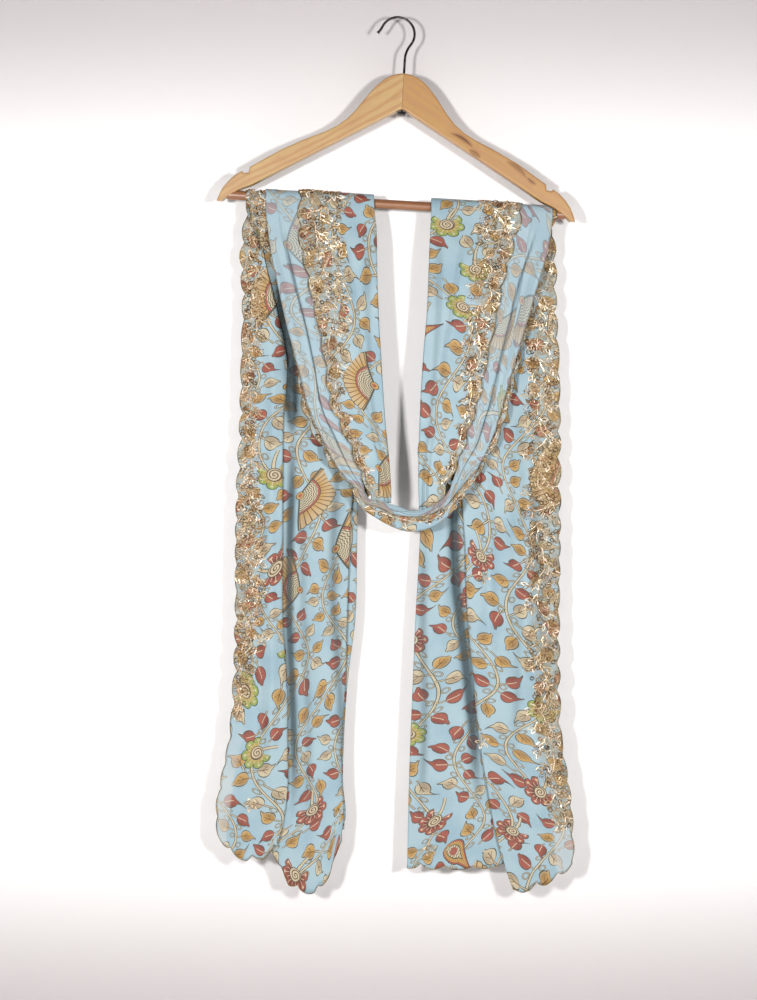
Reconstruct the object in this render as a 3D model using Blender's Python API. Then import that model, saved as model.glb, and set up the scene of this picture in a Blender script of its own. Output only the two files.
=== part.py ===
"""A printed chiffon stole (dupatta) hung in a swag on a wooden hanger.

The origin is the inside top of the hook, where the hanger hangs. +Z is up, +X is to the viewer's right and
the front of the stole faces -Y. The cloth tables are in millimetres: "across" runs along +X and "drop" is
measured down from the hook's seat. "Depth" counts outwards from the bar, to the front for the swag and to the
back for the tails.
"""

import math
from collections import namedtuple

import bmesh
import bpy
from mathutils import Vector

MM = 0.001

# Hanger, measured in its own level frame from the top of the mitre.
TILT = math.radians(3.4)
MITRE_TOP = (7.7, 67.8)
ARM_THICK = 14.0
ARM_EDGE_ROUND = 2.2
MITRE_GAP = 0.3
BAR_DROP = 160.0
BAR_RADIUS = 5.75
BAR_HALF_LENGTH = 206.0
SLIP_FIT = 0.3
WIRE_RADIUS = 1.5
HOOK_RADIUS = 20.7
HOOK_CENTRE = (-10.6, 48.0)
HOOK_TIP_ANGLE = math.radians(160)
HOOK_TIP = [(-35.0, 48.0), (-32.4, 51.0)]
HOOK_TIP_FLARE = 1.4
HOOK_STEPS = 22
NECK_STEPS = 5
NECK_BEND_RADIUS = 30.0
NUT_SIDE = 10.0
NUT_HEIGHT = 4.0
NUT_TOP_DROP = 47.0
BORE_ABOVE = 10.0
BORE_DROP = 60.0

# Cloth
WALL = 1.0
SEAM_GAP = 0.3
BENT_SEAM_GAP = 0.42
CLOTH_OFF_BAR = 0.5
INNER_LAYER = BAR_RADIUS + CLOTH_OFF_BAR + WALL / 2
TRIM_LIFT = WALL + SLIP_FIT
FOLD_STEPS = 4

# The arm's outline, from the mitre along the top to the tip and back along the underside.
ARM_TOP = [
    (0, 0.4), (8, 1.4), (16, 4.2), (24, 9.2), (32, 16.8), (40, 26.2), (48, 37.2), (56, 48.2), (66, 59.5),
    (78, 69), (92, 76.8), (106, 83), (118, 88.5), (145, 102.5),
]
ARM_NOTCH = [(180.5, 125), (181.5, 132), (187.5, 133), (189.5, 130.5)]
ARM_TIP = [
    (198, 136), (205.5, 143.5), (211.5, 151.5), (215.5, 159.5), (218.5, 168), (212, 168), (203, 160.5),
    (192, 153.5), (176, 146.5),
]
ARM_INNER = [(2.5, 45), (0, 45)]


# ---------------------------------------------------------------- materials and mesh helpers


def finish(name, colour, roughness, metallic=0.0):
    """A plain Principled material."""
    material = bpy.data.materials.new(name)
    material.use_nodes = True
    shader = material.node_tree.nodes["Principled BSDF"]
    shader.inputs["Base Color"].default_value = (*colour, 1)
    shader.inputs["Roughness"].default_value = roughness
    shader.inputs["Metallic"].default_value = metallic
    return material


def add_object(name, mesh, material, parent=None):
    part = bpy.data.objects.new(name, mesh)
    bpy.context.scene.collection.objects.link(part)
    mesh.materials.append(material)
    part.parent = parent
    return part


def mesh_of(name, build):
    """A mesh that the build function fills through bmesh."""
    mesh = bpy.data.meshes.new(name)
    bm = bmesh.new()
    build(bm)
    bmesh.ops.recalc_face_normals(bm, faces=bm.faces)
    bm.to_mesh(mesh)
    bm.free()
    mesh.shade_smooth()
    mesh.set_sharp_from_angle(angle=math.radians(40))
    return mesh


def cylinder(radius, start, end, sides=20):
    """A bmesh builder for a rod between two points, in millimetres."""
    along = Vector(end) - Vector(start)

    def build(bm):
        made = bmesh.ops.create_cone(
            bm, cap_ends=True, segments=sides, radius1=radius * MM, radius2=radius * MM,
            depth=along.length * MM,
        )
        turn = along.to_track_quat("Z", "Y").to_matrix()
        middle = (Vector(start) + Vector(end)) / 2 * MM
        bmesh.ops.rotate(bm, verts=made["verts"], matrix=turn)
        bmesh.ops.translate(bm, verts=made["verts"], vec=middle)

    return build


def cut(part, cutter):
    modifier = part.modifiers.new(cutter.name, "BOOLEAN")
    modifier.operation = "DIFFERENCE"
    modifier.object = cutter


def hidden(part):
    part.hide_render = True
    part.display_type = "WIRE"
    return part


# ---------------------------------------------------------------- hanger


def arm_mesh(name, side):
    """One arm: its outline extruded to the arm's thickness, with the long edges rounded."""
    outline = ARM_TOP + ARM_NOTCH + ARM_TIP + ARM_INNER
    half = ARM_THICK / 2

    def build(bm):
        ring = [
            bm.verts.new((side * (u + MITRE_GAP / 2) * MM, -half * MM, -w * MM))
            for u, w in outline
        ]
        front = bm.faces.new(ring)
        made = bmesh.ops.extrude_face_region(bm, geom=[front])
        moved = [v for v in made["geom"] if isinstance(v, bmesh.types.BMVert)]
        bmesh.ops.translate(bm, verts=moved, vec=(0, 2 * half * MM, 0))
        on_mitre = 0.01 * MM + MITRE_GAP / 2 * MM
        rims = [
            e for e in bm.edges
            if abs(e.verts[0].co.y - e.verts[1].co.y) < 0.01 * MM
            and not all(abs(v.co.x) < on_mitre for v in e.verts)
        ]
        bmesh.ops.bevel(
            bm, geom=rims, offset=ARM_EDGE_ROUND * MM, segments=2, profile=0.5, affect="EDGES",
            clamp_overlap=True,
        )

    return mesh_of(name, build)


def hook_route():
    """The wire's centre line, from the flared tip over the top of the bend and down the neck to the nut."""
    turn_x = NECK_BEND_RADIUS - HOOK_CENTRE[0]
    reach = HOOK_RADIUS + NECK_BEND_RADIUS
    leave = math.acos(turn_x / reach)
    bend_height = HOOK_CENTRE[1] - reach * math.sin(leave)
    points = list(HOOK_TIP)
    for i in range(HOOK_STEPS + 1):
        angle = HOOK_TIP_ANGLE + (-leave - HOOK_TIP_ANGLE) * i / HOOK_STEPS
        points.append(
            (HOOK_CENTRE[0] + HOOK_RADIUS * math.cos(angle), HOOK_CENTRE[1] + HOOK_RADIUS * math.sin(angle))
        )
    for i in range(1, NECK_STEPS + 1):
        angle = math.pi - leave + leave * i / NECK_STEPS
        points.append(
            (NECK_BEND_RADIUS * (1 + math.cos(angle)), bend_height + NECK_BEND_RADIUS * math.sin(angle))
        )
    points.append((0, -NUT_TOP_DROP - NUT_HEIGHT))
    return points


def wire_object(name, route, material, parent):
    curve = bpy.data.curves.new(name, "CURVE")
    curve.dimensions = "3D"
    curve.bevel_depth = WIRE_RADIUS * MM
    curve.bevel_resolution = 2
    curve.use_fill_caps = True
    spline = curve.splines.new("POLY")
    spline.points.add(len(route) - 1)
    for point, (u, v) in zip(spline.points, route):
        point.co = (u * MM, 0, v * MM, 1)
    spline.points[0].radius = HOOK_TIP_FLARE
    part = bpy.data.objects.new(name, curve)
    bpy.context.scene.collection.objects.link(part)
    curve.materials.append(material)
    part.parent = parent
    return part


def build_hanger():
    """Two mitred arms, the round bar let into their tips, and the wire hook with its nut."""
    wood = finish("pale_wood", (0.76, 0.5, 0.29), 0.45)
    bar_wood = finish("bar_wood", (0.42, 0.2, 0.1), 0.5)
    steel = finish("dark_steel", (0.16, 0.15, 0.15), 0.35, 1.0)
    frame = bpy.data.objects.new("hanger_frame", None)
    bpy.context.scene.collection.objects.link(frame)
    frame.location = (MITRE_TOP[0] * MM, 0, -MITRE_TOP[1] * MM)
    frame.rotation_euler = (0, TILT, 0)

    reach = BAR_HALF_LENGTH + SLIP_FIT
    socket = hidden(add_object(
        "bar_socket",
        mesh_of("bar_socket", cylinder(BAR_RADIUS + SLIP_FIT, (-reach, 0, -BAR_DROP), (reach, 0, -BAR_DROP))),
        bar_wood, frame,
    ))
    bore = hidden(add_object(
        "hook_bore",
        mesh_of("hook_bore", cylinder(WIRE_RADIUS + SLIP_FIT, (0, 0, BORE_ABOVE), (0, 0, -BORE_DROP), 12)),
        steel, frame,
    ))
    for name, side in (("hanger_arm_left", -1), ("hanger_arm_right", 1)):
        arm = add_object(name, arm_mesh(name, side), wood, frame)
        cut(arm, socket)
        cut(arm, bore)
    bar_ends = (-BAR_HALF_LENGTH, 0, -BAR_DROP), (BAR_HALF_LENGTH, 0, -BAR_DROP)
    add_object("hanger_bar", mesh_of("hanger_bar", cylinder(BAR_RADIUS, *bar_ends)), bar_wood, frame)
    wire_object("hanger_hook", hook_route(), steel, frame)

    def nut_block(bm):
        size = Vector((NUT_SIDE, NUT_SIDE, NUT_HEIGHT)) * MM
        made = bmesh.ops.create_cube(bm, size=1)
        bmesh.ops.scale(bm, verts=made["verts"], vec=size)
        drop = (NUT_TOP_DROP + NUT_HEIGHT / 2) * MM
        bmesh.ops.translate(bm, verts=made["verts"], vec=(0, 0, -drop))

    nut = add_object("hanger_nut", mesh_of("hanger_nut", nut_block), steel, frame)
    cut(nut, bore)


# ---------------------------------------------------------------- cloth walls


def bar_drop(across):
    """How far the bar's axis lies below the hook's seat at this distance across."""
    centre_across = MITRE_TOP[0] - BAR_DROP * math.sin(TILT)
    centre_drop = MITRE_TOP[1] + BAR_DROP * math.cos(TILT)
    return centre_drop + (across - centre_across) * math.tan(TILT)


def over_bar(across, distance, angle):
    """A point this far from the bar's axis, at an angle from straight up towards the front."""
    front = distance * math.sin(angle)
    drop = bar_drop(across) - distance * math.cos(angle)
    return (across, front, drop)


def wall(name, sections, material):
    """A cloth wall: sections of (across, front, drop) joined into a sheet and given its thickness."""
    columns = len(sections[0])

    def build(bm):
        rows = [
            [bm.verts.new((across * MM, -front * MM, -drop * MM)) for across, front, drop in section]
            for section in sections
        ]
        for upper, lower in zip(rows, rows[1:]):
            for j in range(columns - 1):
                bm.faces.new((upper[j], lower[j], lower[j + 1], upper[j + 1]))

    mesh = bpy.data.meshes.new(name)
    bm = bmesh.new()
    build(bm)
    bm.to_mesh(mesh)
    bm.free()
    mesh.shade_smooth()
    part = add_object(name, mesh, material)
    thickness = part.modifiers.new("thickness", "SOLIDIFY")
    thickness.thickness = WALL * MM
    thickness.offset = 0
    thickness.use_even_offset = True
    return part


def mix(a, b, share):
    return a + (b - a) * share


def half_turn(edge, outward, low, high):
    """Points round a fold whose farthest place is at edge, from one layer's depth to the next one's."""
    radius = abs(high - low) / 2
    centre = (low + high) / 2
    points = []
    for i in range(FOLD_STEPS + 1):
        angle = math.pi * i / FOLD_STEPS
        across = edge - outward * radius * (1 - math.sin(angle))
        points.append((across, centre - (high - low) / 2 * math.cos(angle)))
    return points


# ---------------------------------------------------------------- tails

# A row for each height. The columns are where the folds lie across, in the order in which the cloth runs from
# its outer long edge: front pleat out and back, inner fold, outer fold, second inner fold, free long edge.
TailRow = namedtuple(
    "TailRow", "drop edge pleat_out pleat_in inner outer inner_back free_edge pitch spread"
)
LEFT_TAIL = [
    TailRow(None, -183, -164, -170, -29, -161, -29, -119, 1.4, 0.0),
    TailRow(283, -191, -164, -174, -29, -166, -29, -119, 1.8, 0.3),
    TailRow(344, -189, -150, -174, -33, -170, -30, -120, 2.4, 0.7),
    TailRow(417, -191, -136, -178, -37, -175, -34, -123, 2.8, 1.0),
    TailRow(490, -192, -140, -180, -44, -178, -39, -124, 3.0, 1.0),
    TailRow(575, -196, -141, -184, -55, -180, -48, -127, 3.2, 1.0),
    TailRow(649, -198, -141, -186, -59, -183, -50, -128, 3.2, 1.0),
    TailRow(734, -198, -141, -188, -62, -184, -52, -129, 3.2, 1.0),
    TailRow(807, -200, -136, -189, -64, -186, -61, -131, 3.2, 1.0),
    TailRow(880, -206, -135, -192, -68, -190, -66, -134, 3.2, 1.0),
    TailRow(941, -218, -135, -197, -68, -192, -67, -136, 3.2, 1.0),
    TailRow(996, -222, -139, -201, -66, -195, -64, -137, 3.2, 1.0),
    TailRow(1015, -220, -147, -198, -69, -192, -66, -137, 3.2, 1.0),
]
RIGHT_TAIL = [
    TailRow(None, 186, 169, 175, 41, 181, 41, 131, 1.4, 0.0),
    TailRow(283, 192, 149, 180, 42, 180, 43, 127, 1.8, 0.3),
    TailRow(344, 193, 132, 177, 39, 181, 41, 125, 2.4, 0.7),
    TailRow(417, 197, 111, 171, 36, 182, 39, 124, 2.8, 1.0),
    TailRow(490, 198, 94, 161, 34, 182, 37, 122, 3.0, 1.0),
    TailRow(575, 198, 80, 143, 30, 183, 33, 122, 3.2, 1.0),
    TailRow(649, 198, 83, 139, 27, 183, 31, 121, 3.2, 1.0),
    TailRow(734, 197, 86, 139, 22, 183, 27, 120, 3.2, 1.0),
    TailRow(807, 197, 93, 142, 19, 182, 24, 119, 3.2, 1.0),
    TailRow(880, 200, 100, 147, 16, 182, 21, 117, 3.2, 1.0),
    TailRow(941, 210, 110, 152, 14, 183, 19, 116, 3.2, 1.0),
    TailRow(996, 214, 122, 157, 13, 185, 17, 115, 3.2, 1.0),
    TailRow(1050, 215, 141, 165, 12, 186, 18, 115, 3.2, 1.0),
]
# Where each layer's hem lies, at its start, middle and end. A tucked one falls away slowly from its start.
HemRow = namedtuple("HemRow", "start middle end tucked", defaults=[False])
LEFT_HEM = [
    HemRow(1000, 1028, 1012), HemRow(1012, 1004, 985), HemRow(985, 1063, 1015, True),
    HemRow(1015, 1041, 1010), HemRow(1010, 1037, 1016), HemRow(1016, 1029, 1008),
]
RIGHT_HEM = [
    HemRow(1034, 1057, 1067), HemRow(1067, 1051, 1032), HemRow(1032, 1040, 1037),
    HemRow(1037, 1041, 1029), HemRow(1029, 1034, 1032), HemRow(1032, 1037, 1027),
]
HEM_RISE_STARTS = 941
TAIL_CLEARANCE = 0.8
WAVE_DEPTH = 3.5
WAVE_LENGTH = 92.0
WAVE_STARTS = 240
WAVE_FULL = 740
WAVE_SLANT = 160.0
WEDGE = 12.0
NARROW_LAYER = 30.0


def layer_depth(layer, across, row):
    """How far out a layer of the tail lies from its first one. The front pleat is flat where spread is 0."""
    if layer == 0:
        return 0.0
    if layer == 1:
        return row.pitch
    beside_pleat = max(0.0, 1 - abs(across - row.pleat_in) / WEDGE)
    pleat = 2 * row.pitch * mix(beside_pleat if layer == 2 else 0.0, 1.0, row.spread)
    return pleat + (layer - 2) * row.pitch


def layer_shares(table, layer):
    """Where a layer has points between its folds: three on a wide layer, one on a narrow one."""
    widest = max(abs(row[layer + 2] - row[layer + 1]) for row in table)
    return (0.25, 0.5, 0.75) if widest > NARROW_LAYER else (0.5,)


def tail_profile(table, row):
    """(across, depth, layer, share along the layer) for each point of one section, as many in every row."""
    folds = row[1:8]
    layers = len(folds) - 1
    points = [(folds[0], layer_depth(0, folds[0], row), 0, 0.0)]
    for layer in range(layers):
        end = folds[layer + 1]
        depth = layer_depth(layer, end, row)
        turn = [(end, depth)]
        if layer + 1 < layers:
            outward = math.copysign(1, end - folds[layer])
            turn = half_turn(end, outward, depth, layer_depth(layer + 1, end, row))
        first = points[-1][0]
        for share in layer_shares(table, layer):
            across = mix(first, turn[0][0], share)
            points.append((across, layer_depth(layer, across, row), layer, share))
        points += [(across, out, layer, 1.0) for across, out in turn]
    return points


def wave(across, drop):
    """The soft billow of the hanging cloth, none at the bar and most near the hem."""
    grown = min(1.0, max(0.0, (drop - WAVE_STARTS) / (WAVE_FULL - WAVE_STARTS)))
    turn = 2 * math.pi * across / WAVE_LENGTH + drop / WAVE_SLANT
    return WAVE_DEPTH * grown * (1 - math.cos(turn)) / 2


def hem_drop(hem, layer, share):
    """The hem's height along a layer, a smooth curve through its start, middle and end."""
    row = hem[layer]
    if row.tucked and share < 0.5:
        return mix(row.start, row.middle, (2 * share) ** 2)
    bow = row.middle - (row.start + row.end) / 2
    return mix(row.start, row.end, share) + bow * 4 * share * (1 - share)


def tail_sections(table, hem):
    """The sections of a tail: two round the back of the bar, then one for each row down to the hem."""
    sections = []
    top = table[0]
    start = OVER_BAR_ANGLES[0] - BENT_SEAM_GAP / INNER_LAYER
    for angle in (start, (start - math.pi / 2) / 2, -math.pi / 2):
        sections.append([
            over_bar(across, INNER_LAYER + depth, angle)
            for across, depth, _, _ in tail_profile(table, top)
        ])
    for row in table[1:]:
        section = []
        for across, depth, layer, share in tail_profile(table, row):
            drop = row.drop
            if drop > HEM_RISE_STARTS:
                rise = 0.5 if row is table[-2] else 1.0
                drop = mix(HEM_RISE_STARTS, hem_drop(hem, layer, share), rise)
            away = INNER_LAYER + TAIL_CLEARANCE + depth + wave(across, drop)
            section.append((across, -away, drop))
        sections.append(section)
    return sections


def trim_strip(sections, first, last, columns, lift):
    """Sections of a strip that lies on a panel: its points in these columns, moved out along +/-Y by lift."""
    strip = []
    for section in sections[first:last]:
        strip.append([(across, front + lift, drop) for across, front, drop in section[columns]])
    return strip


# ---------------------------------------------------------------- swag

# A row for each station along the swag, from the left group on the bar to the right one. Each place is
# (across, drop). outer is the fold at the outside or bottom, pleat the step between the two strips, lap the
# flap's free edge (the strip's top edge at the bottom of the swag) and inner the flap's fold.
# The sizes after them: how far the band runs on under the flap, how far the back layer peeks out past the
# outer fold, the pitch of the layers, the step at the pleat, and how far the band bellies forward.
SwagRow = namedtuple("SwagRow", "outer pleat lap inner under peek pitch step belly")
OVER_BAR_ANGLES = [math.radians(angle) for angle in (-50, -22, 6, 34, 62, 90)]
BAR_LEFT = SwagRow((-161, 0), (-146, 0), (-119, 0), (-29, 0), 9, 22, 1.4, 0.5, 0)
LEFT_ARM = [
    SwagRow((-157, 264), (-141, 264), (-119, 261), (-26, 258), 12, 12, 2.2, 1.4, 0),
    SwagRow((-147, 319), (-128, 319), (-109, 317), (-25, 313), 12, -2, 3.0, 2.0, 0),
    SwagRow((-135, 374), (-113, 374), (-97, 370), (-23, 368), 12, -2, 3.5, 2.2, 0),
    SwagRow((-120, 429), (-102, 425), (-87, 423), (-20, 419), 10, 2, 3.5, 2.2, 0),
    SwagRow((-107, 478), (-91, 477), (-79, 475), (-17, 468), 8, 7, 3.5, 2.0, 0),
    SwagRow((-91, 514), (-78, 511), (-64, 507), (-14, 505), 6, 6, 3.5, 1.8, 0),
    SwagRow((-72, 549), (-61, 544), (-50, 540), (-11, 534), 3, 3, 3.5, 1.5, 0),
    SwagRow((-53, 572), (-47, 569), (-41, 567), (-9, 561), -0.8, 1, 3.2, 1.0, 1),
]
BOTTOM = [
    SwagRow((-39, 596), (-37, 591), (-36, 585), None, 0, 1, 3.0, 0.8, 5),
    SwagRow((-24, 602), (-23, 596), (-22, 589), None, 0, 5, 3.0, 0.8, 8),
    SwagRow((-6, 611), (-5, 602), (-3, 594), None, 0, 6, 3.0, 0.8, 9),
    SwagRow((16, 615), (17, 608), (17, 601), None, 0, 8, 3.0, 0.8, 9),
    SwagRow((41, 611), (39, 605), (37, 597), None, 0, 6, 3.0, 0.8, 9),
    SwagRow((60, 600), (56, 594), (53, 587), None, 0, 3, 3.0, 0.8, 8),
    SwagRow((76, 579), (70, 575), (64, 572), None, 0, 1, 3.0, 0.8, 5),
]
RIGHT_ARM = [
    SwagRow((91, 558), (81, 551), (72, 544), (25, 540), -0.8, 3, 3.2, 1.0, 1),
    SwagRow((107, 529), (94, 519), (83, 509), (26, 505), 3, 6, 3.5, 1.5, 0),
    SwagRow((119, 500), (104, 492), (91, 485), (27, 478), 6, 7, 3.5, 1.8, 0),
    SwagRow((128, 468), (116, 466), (98, 461), (28, 456), 8, 7, 3.5, 2.0, 0),
    SwagRow((142, 420), (126, 417), (108, 413), (31, 411), 10, 5, 3.5, 2.2, 0),
    SwagRow((157, 370), (141, 369), (119, 366), (35, 363), 12, 2, 3.5, 2.2, 0),
    SwagRow((170, 325), (150, 323), (128, 319), (37, 317), 12, 0, 3.0, 2.0, 0),
    SwagRow((184, 274), (158, 272), (142, 270), (39, 268), 10, 0, 2.2, 1.4, 0),
]
BAR_RIGHT = SwagRow((181, 0), (162, 0), (150, 0), (41, 0), 8, 4, 1.4, 0.5, 0)
BAR_RIGHT_FRONT = SwagRow((188, 0), (163, 0), (150, 0), (41, 0), 8, 4, 1.4, 0.5, 0)
# The flaps' ends, tucked in behind the band: the free edge and the fold, with the pitch of their layers.
FlapEnd = namedtuple("FlapEnd", "lap inner pitch")
LEFT_FLAP_END = [FlapEnd((-33, 584), (-8, 580), 2.6), FlapEnd((-28, 594), (-8, 591), 1.8)]
RIGHT_FLAP_END = [FlapEnd((60, 568), (25, 569), 2.8), FlapEnd((54, 592), (26, 606), 2.0)]
# The long edge rolled up over the bottom: how far it hangs below the outer fold and how far it laps up.
RollRow = namedtuple("RollRow", "below lap")
ROLL = [
    RollRow(2.2, 2), RollRow(4, 3), RollRow(8, 5), RollRow(9, 6), RollRow(11, 7), RollRow(9, 6),
    RollRow(6, 5), RollRow(4, 3), RollRow(5, 2),
]
SWAG_CLEARANCE = 0.6
STEP_HALF_WIDTH = 0.8
BAND_SETBACK = 3.0
BACK_SETBACK = 1.5
FRONT_OF_BAR = math.radians(60)
ROLL_STEPS = 6


def swag_stations():
    """(row, angle over the bar or None) for every station from the left seam to the right one."""
    left = [(BAR_LEFT, angle) for angle in OVER_BAR_ANGLES]
    right = [
        (BAR_RIGHT if angle < FRONT_OF_BAR else BAR_RIGHT_FRONT, angle)
        for angle in reversed(OVER_BAR_ANGLES)
    ]
    hanging = [(row, None) for row in LEFT_ARM + BOTTOM + RIGHT_ARM]
    return left + hanging + right


def along_row(row, distance):
    """The place (across, drop) this far inwards from the outer fold, along pleat, lap and inner."""
    stops = [Vector(row.outer), Vector(row.pleat), Vector(row.lap)]
    if row.inner:
        stops.append(Vector(row.inner))
    for a, b in zip(stops, stops[1:]):
        length = (b - a).length
        if distance <= length or b is stops[-1]:
            return a + (b - a) * (distance / length)
        distance -= length
    return stops[-1]


def distance_in(row, name):
    """The distance inwards from the outer fold to pleat, lap or inner."""
    stops = ["outer", "pleat", "lap", "inner"]
    places = [Vector(getattr(row, stop)) for stop in stops[: stops.index(name) + 1]]
    return sum((b - a).length for a, b in zip(places, places[1:]))


def width_of(row):
    """The whole width of the swag at this station, from its outer fold to the flap's fold or the top edge."""
    return distance_in(row, "inner" if row.inner else "lap")


def place(row, angle, distance, depth):
    """A point of the swag, this far in from its outer fold and this deep out from its back layer."""
    across, drop = along_row(row, distance)
    if angle is not None:
        return over_bar(across, INNER_LAYER + depth, angle)
    return (across, INNER_LAYER + SWAG_CLEARANCE + depth, drop)


def band_profile(row):
    """(distance in, depth): the layer behind, the outer fold, the raised strip, the step, the inner strip."""
    behind = row.belly + row.pitch
    front = row.belly + 2 * row.pitch
    raised = front + row.step
    pleat = distance_in(row, "pleat")
    lap = distance_in(row, "lap")
    inner_end = width_of(row) - BAND_SETBACK if row.under > 0 else lap - BAND_SETBACK - 4 * row.under
    end = lap + row.under
    turn = half_turn(0, -1, behind, raised)
    points = [(inner_end, behind), (mix(inner_end, turn[0][0], 0.5), behind)]
    points += turn
    points.append((mix(turn[-1][0], pleat, 0.5), raised))
    points += [
        (pleat - STEP_HALF_WIDTH, raised), (pleat, (raised + front) / 2), (pleat + STEP_HALF_WIDTH, front),
    ]
    points += [(mix(pleat, end, 0.5), front), (end, front)]
    return points


def back_profile(row):
    """(distance in, depth) of the swag's back layer, from its long edge to its inner side."""
    start, end = -row.peek, width_of(row) - BACK_SETBACK
    return [(mix(start, end, share), 0.0) for share in (0, 0.3, 0.6, 1)]


def flap_profile(row):
    """(distance in, depth): from the seam with the band out to the flap's fold and back to its free edge."""
    lap = distance_in(row, "lap")
    start = lap + max(row.under, 0.3) + SEAM_GAP
    low, high = 2 * row.pitch, 3 * row.pitch
    turn = half_turn(width_of(row), 1, low, high)
    points = [(start, low), (mix(start, turn[0][0], 0.5), low)] + turn
    free = lap - min(row.under, 0)
    points += [(mix(turn[-1][0], free, share), high) for share in (0.3, 0.6, 0.8, 1)]
    return points


def flap_sections(stations, ends):
    """The flap's sections, down its arm of the swag and on to its tucked-in end."""
    sections = []
    for row, angle in stations:
        sections.append([place(row, angle, distance, depth) for distance, depth in flap_profile(row)])
    for end in ends:
        edge, fold = Vector(end.lap), Vector(end.inner)
        row = SwagRow(edge, mix(edge, fold, 0.01), mix(edge, fold, 0.02), fold, 0.3, 0, end.pitch, 0, 0)
        sections.append([place(row, None, distance, depth) for distance, depth in flap_profile(row)])
    return sections


def roll_sections(rows):
    """The long edge rolled up: from behind the band round the bottom and up over its front."""
    sections = []
    for row, roll in zip(rows, ROLL):
        rear, front = 0.0, row.belly + 2 * row.pitch + row.step + TRIM_LIFT
        middle, half = (rear + front) / 2, (front - rear) / 2
        start = -row.peek - WALL / 2 - BENT_SEAM_GAP
        points = []
        for i in range(ROLL_STEPS + 1):
            angle = math.pi * i / ROLL_STEPS
            points.append((start - (roll.below + start) * math.sin(angle), middle - half * math.cos(angle)))
        points += [(mix(start, roll.lap, 0.5), front), (roll.lap, front)]
        sections.append([place(row, None, distance, depth) for distance, depth in points])
    return sections


# ---------------------------------------------------------------- the stole


def build_stole():
    """The tails, the swag's layers, the flaps and the rolled edge, with the borders that lie on them."""
    face = finish("printed_chiffon", (0.42, 0.62, 0.74), 0.7)
    gold = finish("gold_embroidery", (0.55, 0.38, 0.2), 0.45)

    for name, table, hem, last_trim in (
        ("left", LEFT_TAIL, LEFT_HEM, 12), ("right", RIGHT_TAIL, RIGHT_HEM, 14),
    ):
        sections = tail_sections(table, hem)
        wall("tail_" + name, sections, face)
        wall("border_tail_" + name, trim_strip(sections, 3, last_trim, slice(0, 3), TRIM_LIFT), gold)
        wall("border_back_" + name, trim_strip(sections, 1, last_trim, slice(-3, None), -TRIM_LIFT), gold)

    stations = swag_stations()
    for name, profile in (("swag_back", back_profile), ("swag_band", band_profile)):
        wall(name, [
            [place(row, angle, distance, depth) for distance, depth in profile(row)]
            for row, angle in stations
        ], face)
    roll = roll_sections([LEFT_ARM[-1]] + BOTTOM + [RIGHT_ARM[0]])
    wall("swag_turnup", roll, face)
    wall("border_turnup", trim_strip(roll, 1, 8, slice(-2, None), TRIM_LIFT), gold)

    over = len(OVER_BAR_ANGLES)
    arm = len(LEFT_ARM)
    left = flap_sections(stations[: over + arm], LEFT_FLAP_END)
    right = flap_sections(list(reversed(stations))[: over + arm], RIGHT_FLAP_END)
    for name, sections in (("left", left), ("right", right)):
        wall("flap_" + name, sections, face)
        wall("border_flap_" + name, trim_strip(sections, 4, over + arm - 1, slice(-3, None), TRIM_LIFT), gold)


def main():
    for old in list(bpy.data.objects):
        bpy.data.objects.remove(old)
    build_hanger()
    build_stole()


main()
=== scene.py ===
"""The looks of a printed chiffon stole, hung in a swag over the bar of a wooden hanger."""

import math
from collections import namedtuple
from functools import partialmethod

import bpy
import numpy as np
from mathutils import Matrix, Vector


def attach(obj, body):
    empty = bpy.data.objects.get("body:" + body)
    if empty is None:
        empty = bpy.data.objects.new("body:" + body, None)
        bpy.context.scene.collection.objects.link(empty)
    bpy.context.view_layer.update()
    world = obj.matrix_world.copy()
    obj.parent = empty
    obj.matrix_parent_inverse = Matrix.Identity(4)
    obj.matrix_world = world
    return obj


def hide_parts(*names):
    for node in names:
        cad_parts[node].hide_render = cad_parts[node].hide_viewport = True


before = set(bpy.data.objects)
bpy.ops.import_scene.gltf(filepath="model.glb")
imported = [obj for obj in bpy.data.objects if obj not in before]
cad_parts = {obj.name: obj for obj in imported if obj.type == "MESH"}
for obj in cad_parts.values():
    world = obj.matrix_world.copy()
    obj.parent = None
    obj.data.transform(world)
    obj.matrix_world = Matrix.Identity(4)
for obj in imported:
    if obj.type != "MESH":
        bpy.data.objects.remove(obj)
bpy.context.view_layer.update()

MM = 0.001


# ---------------------------------------------------------------- the room
# A white wall close behind the hanger, with painted shade towards its top and bottom, and a pale floor below.
# Two soft lights stand left and right in front, each giving a narrow shadow on the wall; a third one stands
# behind.

WALL_BEHIND = 0.033
WALL_LEAN = 0.035
WALL_TOP = 3.0
HALF_WIDTH = 3.5
FLOOR_REACH = 4.5
FLOOR_HEIGHT = -1.32
MIDDLE_HEIGHT = -0.6
LIT_PLACE = (0.0, 0.0, -0.55)
SoftLight = namedtuple("SoftLight", "place size power")
LIGHTS = {
    "light_left": SoftLight((-0.7, -1.94, -0.46), 0.17, 35),
    "light_right": SoftLight((0.7, -1.94, -0.46), 0.17, 31),
    "light_back": SoftLight((0.3, 2.4, 0.1), 1.6, 170),
}
ROOM_LIGHT = (0.93, 0.95, 1.0, 1)
ROOM_LIGHT_POWER = 0.04
VIEW_CENTRE = (-0.0234, -0.5876)
VIEW_HEIGHT = 1.22
CAMERA_DISTANCE = 2.2


def dye(red, green, blue):
    """A colour named by its 0 to 255 values, as the shader wants it."""
    return tuple((value / 255) ** 2.2 for value in (red, green, blue)) + (1.0,)


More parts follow.
